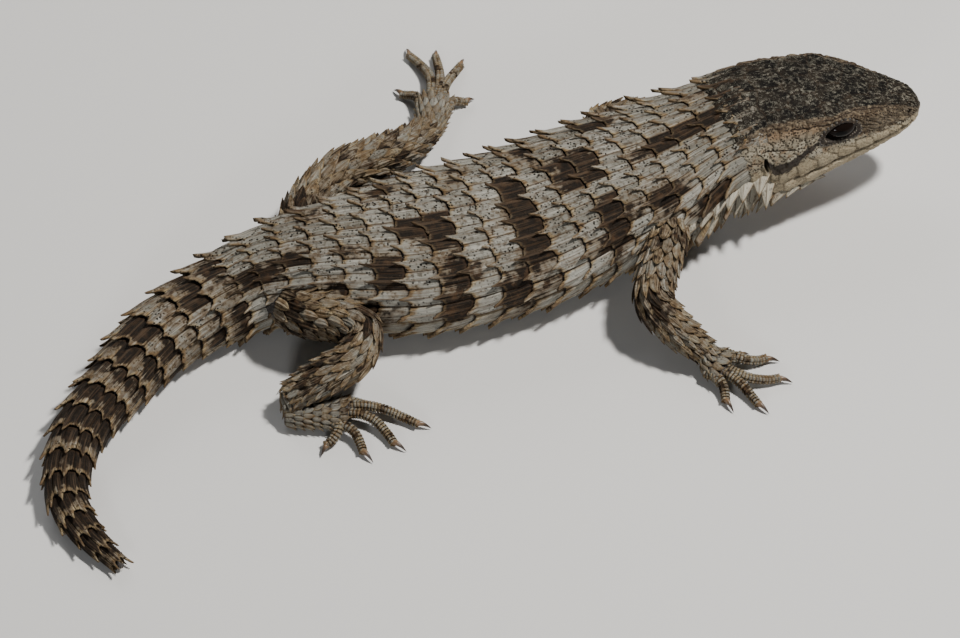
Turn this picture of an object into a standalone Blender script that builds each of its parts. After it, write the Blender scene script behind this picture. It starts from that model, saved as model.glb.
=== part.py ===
# Large-scaled girdled lizard, life size and still, lying on the floor with its head held up.
# It faces +X, its right side is towards -Y, and the sizes below are millimetres.
# The body, tail and limbs are tubes along bent axes. Their surface is stepped into girdles of
# keeled scales, each scale a plate that rises from under the one before and ends in a spine.

import math
import random

import bmesh
import bpy
import numpy as np

MM = 0.001
GAP = 0.3                   # left between two nodes that touch
BOX_SHIFT = (-0.71, -2.1)   # moves the middle of the whole animal's box over the origin

# The axis from the neck to the tip of the tail: x, y, height, half width, half height.
BODY_AXIS = (
    (30.0, 2.1, 9.4, 6.6, 4.9),
    (26.0, 1.6, 8.6, 6.8, 4.8),
    (20.3, 0.8, 7.2, 8.1, 5.2),
    (14.0, 0.2, 6.1, 8.8, 5.6),
    (5.0, -0.8, 5.25, 9.3, 5.5),
    (-5.0, -0.8, 5.05, 9.1, 5.3),
    (-13.0, 0.1, 5.0, 7.1, 4.9),
    (-18.5, 0.7, 4.6, 5.7, 4.5),
    (-23.0, 0.5, 4.0, 4.5, 4.0),
    (-31.3, -2.3, 3.1, 3.7, 3.2),
    (-37.7, -7.0, 2.5, 3.0, 2.6),
    (-42.7, -11.8, 2.05, 2.5, 2.15),
    (-45.2, -17.6, 1.6, 2.0, 1.7),
    (-44.7, -22.4, 1.2, 1.5, 1.3),
    (-42.1, -27.7, 0.6, 0.6, 0.55),
)
NECK_START = 3.4            # along that axis
TAIL_START = 54.6
NECK_GIRDLES = 1
CHEST_GIRDLES = 8
BELLY_GIRDLES = 9
BACK_SCALES = 16            # keeled scales across the back and flanks
FLANK_SCALES = 5            # of these on each side, the low ones with a plain keel
BELLY_SCALES = 6
BELLY_SHARE = 0.2           # of the trunk's girth
WHORLS = (("tail_base", 5), ("tail_middle", 5), ("tail_rear", 5), ("tail_tip", 5))
WHORL_SCALES = 12
LAST_WHORL = 0.72           # length of the last whorl against the first

SPINE_RISE = 0.85           # of a back scale's tip over the body
SPINE_REACH = 1.05          # of that tip past its girdle
SUNK = 0.12                 # how far a scale's front edge lies under the one before
NECK_RISE = 0.95
NECK_REACH = 1.4
WHORL_RISE = 0.95           # on the first length of the tail
WHORL_REACH = 1.2
WHORL_FADE = 0.14           # lost from both on each further length
BARE_TIP = 1.2              # of the tail, past its last whorl
TRUNK_OVAL = (9.4, 5.5)     # half sizes on which the trunk's columns are spaced
SQUARENESS = 0.88           # a section's power; 1 is an oval, less is squarer

# The head, measured from the tip of the snout back. It is turned a little to the right.
SNOUT = (49.2, 0.2, 9.3)    # the tip, at the height of the mouth
HEAD_TURN = 7.0             # degrees to the right of the trunk
HEAD_KEYS = ("back", "crown", "brow_w", "brow_z", "cheek_w", "cheek_z",
             "lip_w", "lip_z", "jaw_w", "jaw_z", "throat")
HEAD_SHAPE = (
    (0.0, 0.5, 0.35, 0.4, 0.45, 0.1, 0.5, -0.1, 0.4, -0.35, -0.45),
    (0.3, 1.2, 0.8, 0.9, 1.1, 0.3, 1.2, -0.15, 0.9, -0.8, -1.0),
    (1.0, 1.9, 1.3, 1.5, 1.8, 0.5, 1.9, -0.2, 1.4, -1.2, -1.45),
    (2.2, 2.5, 1.8, 2.1, 2.6, 0.7, 2.6, -0.25, 2.1, -1.5, -1.9),
    (4.2, 3.2, 2.6, 2.8, 3.5, 1.0, 3.6, -0.35, 2.9, -1.9, -2.3),
    (7.0, 4.1, 3.7, 3.7, 4.5, 1.4, 4.6, -0.6, 3.9, -2.3, -2.9),
    (10.0, 4.8, 4.6, 4.3, 5.2, 1.5, 5.4, -1.0, 4.8, -2.8, -3.5),
    (13.0, 5.1, 4.8, 4.4, 6.0, 1.2, 6.2, -1.5, 5.6, -3.4, -4.0),
    (16.0, 5.1, 5.0, 4.2, 6.5, 0.9, 6.7, -1.9, 6.2, -3.9, -4.5),
    (19.0, 4.9, 4.9, 3.8, 6.5, 0.7, 6.8, -2.0, 6.4, -4.0, -4.6),
    (21.0, 4.7, 4.6, 3.4, 6.2, 0.7, 6.5, -2.0, 6.2, -3.8, -4.5),
)
SHIELD_SEAMS = (2.7, 4.7, 7.0, 10.4, 13.0, 15.6, 18.2)
SEAM_DEPTH = 0.16
SHIELD_RISE = 0.1
MOUTH_REACH = 14.6
MOUTH_DEPTH = 0.34
# Places round half the head, counted from the crown (0) over the brow (2), the cheek (4),
# the mouth (5) and the jaw (6) to the middle of the throat (8).
HALF_ROUND = (0, 0.6, 1.2, 1.7, 2.0, 2.4, 3.0, 3.6, 4.2, 4.75, 5.0, 5.25, 6.0, 6.6, 7.3, 8)
JAW_SPIKES = (12.4, 14.2, 16.0, 17.8)       # back from the snout to each root
JAW_SPIKE = (1.9, 1.5, 0.7)                 # length, width at the root and thickness
EYE = (9.5, 3.75, 2.75)     # back from the snout, out from the middle, above the mouth
EYE_RADIUS = 1.3
LID = (1.6, 1.3, 0.36)      # half length and half height of the ring of lids, and its thickness
NOSTRIL = (1.55, 1.85, 1.15)
NOSTRIL_RADIUS = 0.36
EAR = (19.4, 6.7, 0.5)
EAR_HALVES = (0.75, 1.3, 1.5)

# The limbs' axes: x, y, height, half width, half height. Each starts inside the trunk.
LIMBS = {
    "right_fore": (
        (20.3, -3.0, 6.8, 2.1, 2.1), (19.3, -7.6, 6.8, 2.1, 2.1), (16.9, -11.8, 5.9, 1.9, 1.9),
        (16.1, -14.4, 4.9, 1.85, 1.8), (17.6, -17.2, 3.4, 1.6, 1.5), (19.6, -19.3, 2.2, 1.35, 1.1),
    ),
    "left_fore": (
        (21.0, 3.2, 6.8, 2.1, 2.1), (20.2, 7.4, 6.2, 2.1, 2.1), (19.1, 10.3, 4.7, 1.9, 1.9),
        (19.3, 12.0, 3.4, 1.75, 1.8), (21.8, 13.2, 2.7, 1.5, 1.5), (25.2, 13.5, 2.1, 1.35, 1.1),
    ),
    "right_hind": (
        (-20.4, -1.4, 4.8, 2.4, 2.3), (-17.6, -5.7, 5.6, 2.3, 2.3), (-14.8, -8.2, 6.1, 2.0, 2.1),
        (-13.2, -10.5, 5.9, 1.75, 2.0), (-14.9, -12.7, 5.2, 1.75, 1.9), (-18.4, -13.2, 4.0, 1.7, 1.6),
        (-21.4, -13.3, 2.8, 1.5, 1.2),
    ),
    "left_hind": (
        (-17.0, 1.6, 4.8, 2.4, 2.3), (-14.2, 6.9, 5.7, 2.4, 2.3), (-9.8, 10.6, 6.2, 2.2, 2.1),
        (-6.1, 12.0, 5.8, 2.0, 2.0), (-3.4, 13.6, 4.6, 2.0, 1.9), (-0.6, 15.8, 3.0, 1.7, 1.5),
        (1.8, 18.0, 2.0, 1.5, 1.2),
    ),
}
LIMB_NODES = {"fore": ("upper_arm", "forearm", "hand"), "hind": ("thigh", "shank", "foot")}
LIMB_ROOT = {"fore": 5.6, "hind": 6.6}      # smooth length sunk in the trunk
LIMB_JOINT = {"right_fore": 10.6, "left_fore": 10.3, "right_hind": 11.0, "left_hind": 15.4}
LIMB_GIRDLE = 1.75
LIMB_SCALES = 8
LIMB_RISE = 0.6
LIMB_REACH = 0.85
LIMB_LAST = 0.3             # of both on the scales next to a joint

# Each palm or sole runs between two places, and each digit's tip is set on the floor.
PALMS = {
    "right_fore": ((20.0, -19.8), (21.2, -21.2)), "left_fore": ((25.9, 13.7), (27.6, 14.0)),
    "right_hind": ((-22.0, -14.2), (-16.4, -15.8)), "left_hind": ((2.2, 18.6), (4.2, 22.8)),
}
DIGITS = {
    "right_fore": ((24.4, -19.4), (27.0, -21.2), (27.3, -24.2), (23.7, -27.3), (20.4, -26.1)),
    "left_fore": ((29.8, 11.0), (32.6, 12.2), (33.6, 14.4), (32.2, 16.7), (28.4, 17.5)),
    "right_hind": ((-12.2, -15.6), (-8.8, -19.3), (-12.0, -21.4), (-15.5, -21.8), (-20.2, -19.6)),
    "left_hind": ((8.4, 22.6), (9.1, 28.6), (6.6, 30.8), (3.6, 31.9), (0.6, 26.4)),
}
PALM_HALF = {"fore": 2.2, "hind": 2.0}
PALM_HEIGHT = 1.2
SOLE_HALF = 1.1
DIGIT_HALF = 0.62            # half width at the knuckle
DIGIT_PROFILE = (            # share of the length, height, half width against the knuckle's
    (0.0, 1.2, 1.0), (0.28, 1.35, 1.0), (0.55, 1.05, 0.94), (0.82, 0.62, 0.9), (1.0, 0.55, 0.84),
)
CLAW_LENGTH = 1.35
CLAW_RINGS = ((0.12, 0.62, 0.33), (0.55, 0.55, 0.24))   # share of it, height, half width
CLAW_TIP = 0.12              # height of its point

COLOURS = {
    "head": (0.16, 0.13, 0.10), "neck": (0.38, 0.34, 0.29), "chest": (0.45, 0.42, 0.37),
    "abdomen": (0.42, 0.38, 0.33), "tail": (0.24, 0.19, 0.15), "limb": (0.33, 0.27, 0.21),
    "foot": (0.38, 0.29, 0.21), "eye": (0.01, 0.008, 0.006),
}
EYE_ROUGHNESS = 0.15
SKIN_ROUGHNESS = 0.7


def smooth_path(rows, steps=24):
    """Points on a smooth curve through the rows, with every column eased alike."""
    rows = np.array(rows, float)
    ends = np.vstack([2 * rows[0] - rows[1], rows, 2 * rows[-1] - rows[-2]])
    ease = np.linspace(0.0, 1.0, steps, endpoint=False)[:, None]
    pieces = []
    for a, b, c, d in zip(ends, ends[1:], ends[2:], ends[3:]):
        pieces.append(b + 0.5 * ease * ((c - a) + ease * ((2 * a - 5 * b + 4 * c - d)
                      + ease * (3 * (b - c) + d - a))))
    return np.vstack(pieces + [rows[-1:]])


class Tube:
    """An oval tube along a bent axis. Angles start at its left side and rise over its back."""

    def __init__(self, rows, forward=1.0):
        path = smooth_path(rows)
        steps = np.linalg.norm(np.diff(path[:, :3], axis=0), axis=1)
        self.along = np.concatenate([[0.0], np.cumsum(steps)])
        self.path = path
        self.length = self.along[-1]
        tangent = np.gradient(path[:, :3], self.along, axis=0)
        tangent /= np.linalg.norm(tangent, axis=1)[:, None]
        side = np.cross([0.0, 0.0, 1.0], forward * tangent)
        side /= np.linalg.norm(side, axis=1)[:, None]
        self.side = side
        self.up = np.cross(forward * tangent, side)
        bend = np.gradient(tangent, self.along, axis=0)
        self.bend = np.sum(bend * side, axis=1)
        self.tangent = tangent

    def read(self, values, place):
        place = np.clip(place, 0.0, self.length)
        return np.array([np.interp(place, self.along, column) for column in values.T]).T

    def at(self, place, angle, lift):
        """A point at each place along the axis and angle round it, lifted off the surface."""
        place, angle, lift = np.broadcast_arrays(np.float64(place), angle, lift)
        row = self.read(self.path, place)
        cos, sin = np.cos(angle), np.sin(angle)
        wide, high = row[..., 3], row[..., 4]
        out = np.stack([cos / wide, sin / high])
        out /= np.linalg.norm(out, axis=0)
        across = wide * np.sign(cos) * np.abs(cos) ** SQUARENESS + lift * out[0]
        over = high * np.sign(sin) * np.abs(sin) ** SQUARENESS + lift * out[1]
        return (row[..., :3] + across[..., None] * self.read(self.side, place)
                + over[..., None] * self.read(self.up, place))

    def room(self, place, angle):
        """1 on a straight stretch or the outside of a bend, falling to 0 in its fold."""
        place, angle = np.broadcast_arrays(np.float64(place), angle)
        bend = np.interp(place, self.along, self.bend)
        wide = np.interp(place, self.along, self.path[:, 3])
        return np.clip((1.0 - bend * wide * np.cos(angle)) / 0.7 - 0.45, 0.0, 1.0)


def girth_angles(count, wide, high, start, share):
    """Angles that part a share of an oval's girth into equal lengths, from start degrees."""
    fine = np.radians(start) + np.linspace(0.0, 2 * math.pi, 2001)
    ring = np.stack([wide * np.cos(fine), high * np.sin(fine)], axis=1)
    girth = np.concatenate([[0.0], np.cumsum(np.linalg.norm(np.diff(ring, axis=0), axis=1))])
    return np.interp(np.linspace(0.0, share, count + 1) * girth[-1], girth, fine)


def clear_scene():
    for obj in list(bpy.data.objects):
        bpy.data.objects.remove(obj, do_unlink=True)


def new_collection(name):
    group = bpy.data.collections.new(name)
    bpy.context.scene.collection.children.link(group)
    return group


def finish_of(name, colour, roughness):
    material = bpy.data.materials.new(name)
    material.use_nodes = True
    shader = material.node_tree.nodes["Principled BSDF"]
    shader.inputs["Base Color"].default_value = (*colour, 1.0)
    shader.inputs["Roughness"].default_value = roughness
    shader.inputs["Metallic"].default_value = 0.0
    return material


def raw_mesh(points, faces):
    """A mesh from points in millimetres with its faces out."""
    mesh = bpy.data.meshes.new("form")
    points = np.array(points, float) + (*BOX_SHIFT, 0.0)
    mesh.from_pydata((points * MM).tolist(), [], faces)
    form = bmesh.new()
    form.from_mesh(mesh)
    bmesh.ops.recalc_face_normals(form, faces=form.faces)
    form.to_mesh(mesh)
    form.free()
    return mesh


def tube_mesh(rings, tip=None):
    """A closed skin through a list of rings, flat at both ends or drawn out to a tip."""
    count = len(rings[0])
    ends = [rings[0].mean(axis=0), rings[-1].mean(axis=0) if tip is None else tip]
    start = len(rings) * count
    last = start - count
    faces = []
    for j in range(count):
        k = (j + 1) % count
        faces.append((start, k, j))
        faces.append((start + 1, last + j, last + k))
        for ring in range(0, last, count):
            faces.append((ring + j, ring + k, ring + count + k, ring + count + j))
    return raw_mesh(np.vstack(rings + ends), faces)


def place_node(group, name, mesh):
    """An object of its own for a node, with nothing lower than the floor."""
    for vert in mesh.vertices:
        vert.co.z = max(vert.co.z, 0.0)
    obj = bpy.data.objects.new(name, mesh)
    group.objects.link(obj)
    return obj


def scale_columns(angles, keeled, plain_sides=0):
    """Columns across a row of scales: the groove before each, and on a keeled one the
    two shoulders and the keel. Gives angles and how much each column rises and reaches.
    The scales at both ends of the row may go without shoulders."""
    column, rise, reach = [], [], []
    count = len(angles) - 1
    for k in range(count):
        a, b = angles[k], angles[k + 1]
        column.append(a)
        rise.append(0.12)
        reach.append(-0.3)
        at_side = min(k, count - 1 - k) < plain_sides
        if keeled == 3 and not at_side:
            column += [a + 0.22 * (b - a), a + 0.5 * (b - a), a + 0.78 * (b - a)]
            rise += [0.42, 1.0, 0.42]
            reach += [0.12, 1.0, 0.12]
        elif keeled:
            column.append(a + 0.5 * (b - a))
            rise.append(1.0)
            reach.append(1.0)
    return column, rise, reach


def girdle_rings(tube, places, columns, spine, draw):
    """Two rings for each girdle: its front, sunk, and its rear edge with spines past it."""
    angle, rise, reach = (np.array(part) for part in columns)
    rings = []
    for front, rear in zip(places, places[1:]):
        rings.append(tube.at(front, angle, -SUNK))
        free = tube.room(rear, angle) * spine["over"](angle)
        if rear == places[-1]:
            free = free * spine["last"]
        jitter = np.array([draw.uniform(0.82, 1.12) for _ in angle])
        tip = rise >= 1.0
        high = np.where(tip, rise * jitter, rise) * spine["rise"] * free
        far = np.where(tip, reach * jitter * free, reach) * spine["reach"]
        far = np.where(free < 0.05, -0.12, far)
        rings.append(tube.at(rear + far, angle, high))
    rings.append(tube.at(places[-1], angle, -SUNK))
    return rings


def parted(places, first, last):
    """The girdle places of one node, drawn in at its ends by half a gap each."""
    own = np.array(places[first:last + 1], float)
    own[0] += GAP / 2
    own[-1] -= GAP / 2
    return own


def full_on_back(angle):
    """Spines are full on the back and flanks and fade under the belly."""
    return np.clip(1.15 + 1.3 * np.sin(angle), 0.16, 1.0)


def full_on_sides(angle):
    """The neck's spines stay long down its sides and are short over its back."""
    return np.clip(0.95 - 0.45 * np.sin(angle), 0.4, 1.0) * np.clip(2.2 + 2.2 * np.sin(angle), 0.1, 1.0)


def bodies(group, draw):
    """The neck, the two lengths of trunk and the four of tail, in whole girdles."""
    tube = Tube(BODY_AXIS, forward=-1.0)
    half_belly = 180.0 * BELLY_SHARE * 0.82
    back = girth_angles(BACK_SCALES, *TRUNK_OVAL, -90.0 + half_belly, 1.0 - BELLY_SHARE)
    belly = girth_angles(BELLY_SCALES, *TRUNK_OVAL, math.degrees(back[-1]), BELLY_SHARE)
    back_part = scale_columns(back, 3, FLANK_SCALES)
    belly_part = scale_columns(belly, 0)
    columns = [a + b for a, b in zip(back_part, belly_part)]
    count = NECK_GIRDLES + CHEST_GIRDLES + BELLY_GIRDLES
    places = NECK_START + (TAIL_START - NECK_START) * np.arange(count + 1) / count
    trunk_spine = {"rise": SPINE_RISE, "reach": SPINE_REACH, "over": full_on_back, "last": 1.0}
    neck_spine = {"rise": NECK_RISE, "reach": NECK_REACH, "over": full_on_sides, "last": 1.0}
    made, first = [], 0
    for name, girdles, spine in (("neck", NECK_GIRDLES, neck_spine),
                                 ("chest", CHEST_GIRDLES, trunk_spine),
                                 ("abdomen", BELLY_GIRDLES, trunk_spine)):
        own = parted(places, first, first + girdles)
        rings = girdle_rings(tube, own, columns, spine, draw)
        made.append(place_node(group, name, tube_mesh(rings)))
        first += girdles

    sizes = np.linspace(1.0, LAST_WHORL, sum(whorls for _, whorls in WHORLS))
    shares = np.concatenate([[0], np.cumsum(sizes)]) / sizes.sum()
    places = TAIL_START + (tube.length - BARE_TIP - TAIL_START) * shares
    around = girth_angles(WHORL_SCALES, 1.0, 1.0, -90.0, 1.0)
    first = 0
    for number, (name, whorls) in enumerate(WHORLS):
        own = parted(places, first, first + whorls)
        columns = scale_columns(around, 3 if number < 1 else 1, 3)
        fade = 1.0 - WHORL_FADE * number
        spine = {"rise": WHORL_RISE * fade, "reach": WHORL_REACH * fade,
                 "over": full_on_back, "last": 1.0}
        rings = girdle_rings(tube, own, columns, spine, draw)
        tip = tube.path[-1, :3] if number == len(WHORLS) - 1 else None
        made.append(place_node(group, name, tube_mesh(rings, tip)))
        first += whorls
    return made


def largest_surface(form):
    """Leaves only the closed surface of a bmesh that has the largest box."""
    form.verts.ensure_lookup_table()
    left = set(form.verts)
    groups = []
    while left:
        todo = [left.pop()]
        group = set(todo)
        while todo:
            for edge in todo.pop().link_edges:
                for vert in edge.verts:
                    if vert in left:
                        left.discard(vert)
                        group.add(vert)
                        todo.append(vert)
        low = [min(v.co[k] for v in group) for k in range(3)]
        high = [max(v.co[k] for v in group) for k in range(3)]
        groups.append((sum(b - a for a, b in zip(low, high)), len(groups), group))
    keep = max(groups)[2]
    bmesh.ops.delete(form, geom=[v for v in form.verts if v not in keep], context="VERTS")


def triangulated(form):
    """Triangles, with a middle point in a face whose diagonal another face would share."""
    for _ in range(4):
        form.verts.index_update()
        form.verts.ensure_lookup_table()
        trial = form.copy()
        bmesh.ops.triangulate(trial, faces=trial.faces)
        shared = [tuple(v.index for v in edge.verts) for edge in trial.edges if len(edge.link_faces) > 2]
        trial.free()
        clash = set()
        for a, b in shared:
            faces = [f for f in form.verts[a].link_faces if f in set(form.verts[b].link_faces)]
            clash.update(f for f in faces if len(f.verts) > 3)
        if not clash:
            break
        bmesh.ops.poke(form, faces=list(clash))
    bmesh.ops.triangulate(form, faces=form.faces)


def combined(name, base, pieces, operation, solver="MANIFOLD"):
    """The base mesh joined with, or cut by, a collection of closed pieces."""
    group = new_collection("pieces_of_" + name)
    group.hide_render = True
    for number, mesh in enumerate(pieces):
        piece = bpy.data.objects.new(f"{name}_piece_{number}", mesh)
        piece.hide_render = True
        piece.display_type = "WIRE"
        group.objects.link(piece)
    holder = bpy.data.objects.new(name + "_base", base)
    bpy.context.scene.collection.objects.link(holder)
    modifier = holder.modifiers.new("join", "BOOLEAN")
    modifier.operand_type = "COLLECTION"
    modifier.collection = group
    modifier.operation = operation
    modifier.solver = solver
    graph = bpy.context.evaluated_depsgraph_get()
    mesh = bpy.data.meshes.new_from_object(holder.evaluated_get(graph))
    for obj in list(group.objects) + [holder]:
        bpy.data.objects.remove(obj, do_unlink=True)
    bpy.data.collections.remove(group)
    form = bmesh.new()
    form.from_mesh(mesh)
    largest_surface(form)
    triangulated(form)
    form.to_mesh(mesh)
    form.free()
    return mesh


def head_axes():
    turn = math.radians(HEAD_TURN)
    back = np.array([-math.cos(turn), math.sin(turn), 0.0])
    left = np.array([math.sin(turn), math.cos(turn), 0.0])
    return np.array(SNOUT), back, left, np.array([0.0, 0.0, 1.0])


def head_point(back, out, above):
    """Back from the snout, out to the left and above the mouth."""
    start, back_axis, left_axis, up_axis = head_axes()
    return start + back * back_axis + out * left_axis + above * up_axis


def head_half(back):
    """Half a section of the head, as out and above for each place round it."""
    shape = smooth_path(HEAD_SHAPE, 12)
    row = dict(zip(HEAD_KEYS[1:], (np.interp(back, shape[:, 0], c) for c in shape.T[1:])))
    fall = row["crown"] - row["brow_z"]
    keys = (
        (0.0, row["crown"]),
        (0.55 * row["brow_w"], row["crown"] - 0.25 * fall),
        (row["brow_w"], row["brow_z"]),
        (0.35 * row["brow_w"] + 0.65 * row["cheek_w"], 0.45 * row["brow_z"] + 0.55 * row["cheek_z"]),
        (row["cheek_w"], row["cheek_z"]),
        (row["lip_w"], row["lip_z"]),
        (row["jaw_w"], row["jaw_z"]),
        (0.5 * row["jaw_w"], 0.92 * row["throat"] + 0.08 * row["jaw_z"]),
        (0.0, row["throat"]),
    )
    keys = np.array(keys)
    mirrored = np.vstack([keys[1] * (-1, 1), keys, keys[-2] * (-1, 1)])
    points = []
    for place in HALF_ROUND:
        k = min(int(place), len(keys) - 2)
        a, b, c, d = mirrored[k:k + 4]
        t = place - k
        points.append(b + 0.5 * t * ((c - a) + t * ((2 * a - 5 * b + 4 * c - d)
                      + t * (3 * (b - c) + d - a))))
    return np.array(points)


def head_rings(neck_tube, draw):
    """Sections of the head with its shield seams, lips and mouth line, eased into the neck."""
    places = np.array(HALF_ROUND)
    count = len(places)
    stations = [0.0, 0.3, 0.9, 1.6, 20.0]
    for seam in SHIELD_SEAMS:
        stations += [seam - 0.35, seam, seam + 0.35]
    stations += [8.7, 11.7, 14.3, 19.2]
    stations = sorted(stations)
    rings = []
    for back in stations:
        half = head_half(back)
        lift = np.zeros(count)
        on_seam = back in SHIELD_SEAMS
        lift[places <= 2.0] += -SEAM_DEPTH if on_seam else SHIELD_RISE
        lift[0] -= SEAM_DEPTH if 4.7 < back < 19.0 else 0.0
        lift[places == 1.2] -= SEAM_DEPTH if 7.0 < back < 15.6 else 0.0
        lift[(places >= 4.4) & (places < 5.0)] += -SHIELD_RISE if on_seam else SHIELD_RISE
        if 0.2 < back < MOUTH_REACH:
            lift[places == 5.0] = -MOUTH_DEPTH
            lift[places == 5.25] += SHIELD_RISE
        around = np.gradient(half, axis=0)
        normal = np.stack([-around[:, 1], around[:, 0]], axis=1)
        normal /= np.linalg.norm(normal, axis=1)[:, None]
        normal *= np.sign(np.sum(normal * (half - half.mean(axis=0) * (0, 1)), axis=1))[:, None]
        half = half + lift[:, None] * normal * min(1.0, 0.3 + back / 2.0)
        half[0, 0] = half[-1, 0] = 0.0
        ring = [head_point(back, out, above) for out, above in half]
        ring += [head_point(back, -out, above) for out, above in half[-2:0:-1]]
        rings.append(np.array(ring))

    wide = np.cumsum(np.concatenate([[0.0], np.linalg.norm(np.diff(head_half(19.0), axis=0), axis=1)]))
    half_angles = math.pi / 2 - math.pi * wide / wide[-1]
    angle = np.concatenate([half_angles, math.pi - half_angles[-2:0:-1]])
    pointed = np.concatenate([np.arange(count) % 2 == 0, (np.arange(count) % 2 == 0)[-2:0:-1]])
    back_part = np.clip(1.5 * np.sin(angle) + 1.1, 0.0, 1.0)
    high = np.where(pointed, 0.75, 0.2) * back_part + 0.02
    far = np.where(pointed, 0.85, -0.25) * back_part - 0.1
    end = NECK_START - GAP / 2
    rings.append(neck_tube.at(end + far, angle, high))
    rings.append(neck_tube.at(end, angle, -SUNK))
    return rings


def ball(centre, halves, segments, rows):
    """A ball stretched to three half sizes along the head's own axes."""
    mesh = bpy.data.meshes.new("ball")
    form = bmesh.new()
    bmesh.ops.create_uvsphere(form, u_segments=segments, v_segments=rows, radius=1.0)
    _, back_axis, left_axis, up_axis = head_axes()
    for vert in form.verts:
        x, y, z = vert.co
        point = centre + x * halves[0] * back_axis + y * halves[1] * left_axis + z * halves[2] * up_axis
        vert.co = (point + (*BOX_SHIFT, 0.0)) * MM
    bmesh.ops.recalc_face_normals(form, faces=form.faces)
    form.to_mesh(mesh)
    form.free()
    return mesh


def lid_ring(side):
    """The raised ring of scaly skin round an eye."""
    long, high, thick = LID
    rings = []
    for turn in np.linspace(0.0, 2 * math.pi, 12, endpoint=False):
        spoke = np.array([math.cos(turn), math.sin(turn)])
        ring = []
        for part in np.linspace(0.0, 2 * math.pi, 5, endpoint=False):
            grow = 1.0 + thick * math.cos(part) / math.hypot(long * spoke[0], high * spoke[1])
            out = EYE[1] + 0.85 + thick * math.sin(part) - 0.12 * spoke[1]
            ring.append(head_point(EYE[0] + long * spoke[0] * grow, side * out,
                                   EYE[2] + high * spoke[1] * grow))
        rings.append(np.array(ring))
    count, faces = len(rings[0]), []
    for i in range(len(rings)):
        for j in range(count):
            n, k = (i + 1) % len(rings), (j + 1) % count
            faces.append((i * count + j, i * count + k, n * count + k, n * count + j))
    return raw_mesh(np.vstack(rings), faces)


def jaw_spike(back, side):
    """One flat spine of the fringe along the jaw, pointing back, out and down."""
    long, wide, thick = JAW_SPIKE
    shape = smooth_path(HEAD_SHAPE, 12)
    row = dict(zip(HEAD_KEYS, (np.interp(back, shape[:, 0], c) for c in shape.T)))
    root = head_point(back, side * (row["jaw_w"] - 0.3), row["jaw_z"] + 0.3)
    _, back_axis, left_axis, up_axis = head_axes()
    ahead = 0.55 * back_axis + 0.62 * side * left_axis - 0.56 * up_axis
    out = 0.67 * side * left_axis + 0.74 * up_axis
    ring = [root + wide / 2 * back_axis, root + thick / 2 * out,
            root - wide / 2 * back_axis, root - thick / 2 * out]
    sunk = [point - 0.4 * ahead for point in ring]
    return tube_mesh([np.array(sunk), np.array(ring)], root + long * ahead)


def head_nodes(group, neck_tube, draw):
    """The head with its lids, jaw spines, eye sockets, nostrils and ear openings, and two eyes."""
    added = [lid_ring(side) for side in (1, -1)]
    added += [jaw_spike(back, side) for back in JAW_SPIKES for side in (1, -1)]
    mesh = combined("head", tube_mesh(head_rings(neck_tube, draw)), added, "UNION")
    made, holes = [], []
    for side, name in ((1, "eye_left"), (-1, "eye_right")):
        eye = head_point(EYE[0], side * EYE[1], EYE[2])
        nostril = head_point(NOSTRIL[0], side * NOSTRIL[1], NOSTRIL[2])
        ear = head_point(EAR[0], side * EAR[1], EAR[2])
        holes.append(ball(eye, [EYE_RADIUS + GAP] * 3, 12, 8))
        holes.append(ball(nostril, [NOSTRIL_RADIUS] * 3, 6, 5))
        holes.append(ball(ear, EAR_HALVES, 8, 6))
        made.append(place_node(group, name, ball(eye, [EYE_RADIUS] * 3, 12, 8)))
    made.append(place_node(group, "head", combined("head", mesh, holes, "DIFFERENCE")))
    return made


def limb_tubes():
    return {name: Tube(rows) for name, rows in LIMBS.items()}


def limb_cutter(name, tube):
    """The room that a limb takes in the trunk: its smooth root, then its scales, and a gap."""
    root = LIMB_ROOT[name.split("_")[1]]
    places = np.arange(0.0, tube.length * 0.8, 0.9)
    angles = np.linspace(0.0, 2 * math.pi, 20, endpoint=False)
    rings = []
    for place in places:
        out = np.clip((place - root + 1.0) / 0.6, 0.0, 1.0)
        rings.append(tube.at(place, angles, GAP - SUNK + out * (LIMB_RISE * 0.75)))
    rings[0] = rings[0] - GAP * tube.tangent[0]
    return tube_mesh(rings)


def full_on_limb(angle):
    return np.clip(0.75 + 0.7 * np.sin(angle), 0.2, 1.0)


def limb_nodes(group, name, tube, draw):
    """The two scaly lengths of a limb."""
    side, kind = name.split("_")
    upper, lower, _ = LIMB_NODES[kind]
    angles = np.radians(-90.0 + 360.0 / LIMB_SCALES * (np.arange(LIMB_SCALES + 1) - 0.5))
    columns = scale_columns(angles, 1)
    spine = {"rise": LIMB_RISE, "reach": LIMB_REACH, "last": LIMB_LAST, "over": full_on_limb}
    made = []
    joint = LIMB_JOINT[name]
    for node, start, end in ((upper, LIMB_ROOT[kind], joint), (lower, joint, tube.length)):
        girdles = max(2, round((end - start) / LIMB_GIRDLE))
        places = np.linspace(start, end, girdles + 1)
        if node == lower:
            places[0] += GAP / 2
        places[-1] -= GAP / 2
        rings = girdle_rings(tube, places, columns, spine, draw)
        if node == upper:
            rings.insert(0, tube.at(0.0, np.array(columns[0]), -SUNK))
        mesh = tube_mesh(rings)
        if node == "thigh":
            fold = np.linspace(joint + GAP / 2, tube.length - 1.0, 9)
            room = [tube.at(place, np.array(columns[0]), LIMB_RISE * 0.7 + GAP) for place in fold]
            room[0] = room[0] - 0.7 * GAP * tube.read(tube.tangent, joint)
            mesh = combined(name, mesh, [tube_mesh(room)], "DIFFERENCE")
        made.append(place_node(group, f"{side}_{node}", mesh))
    return made


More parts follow.
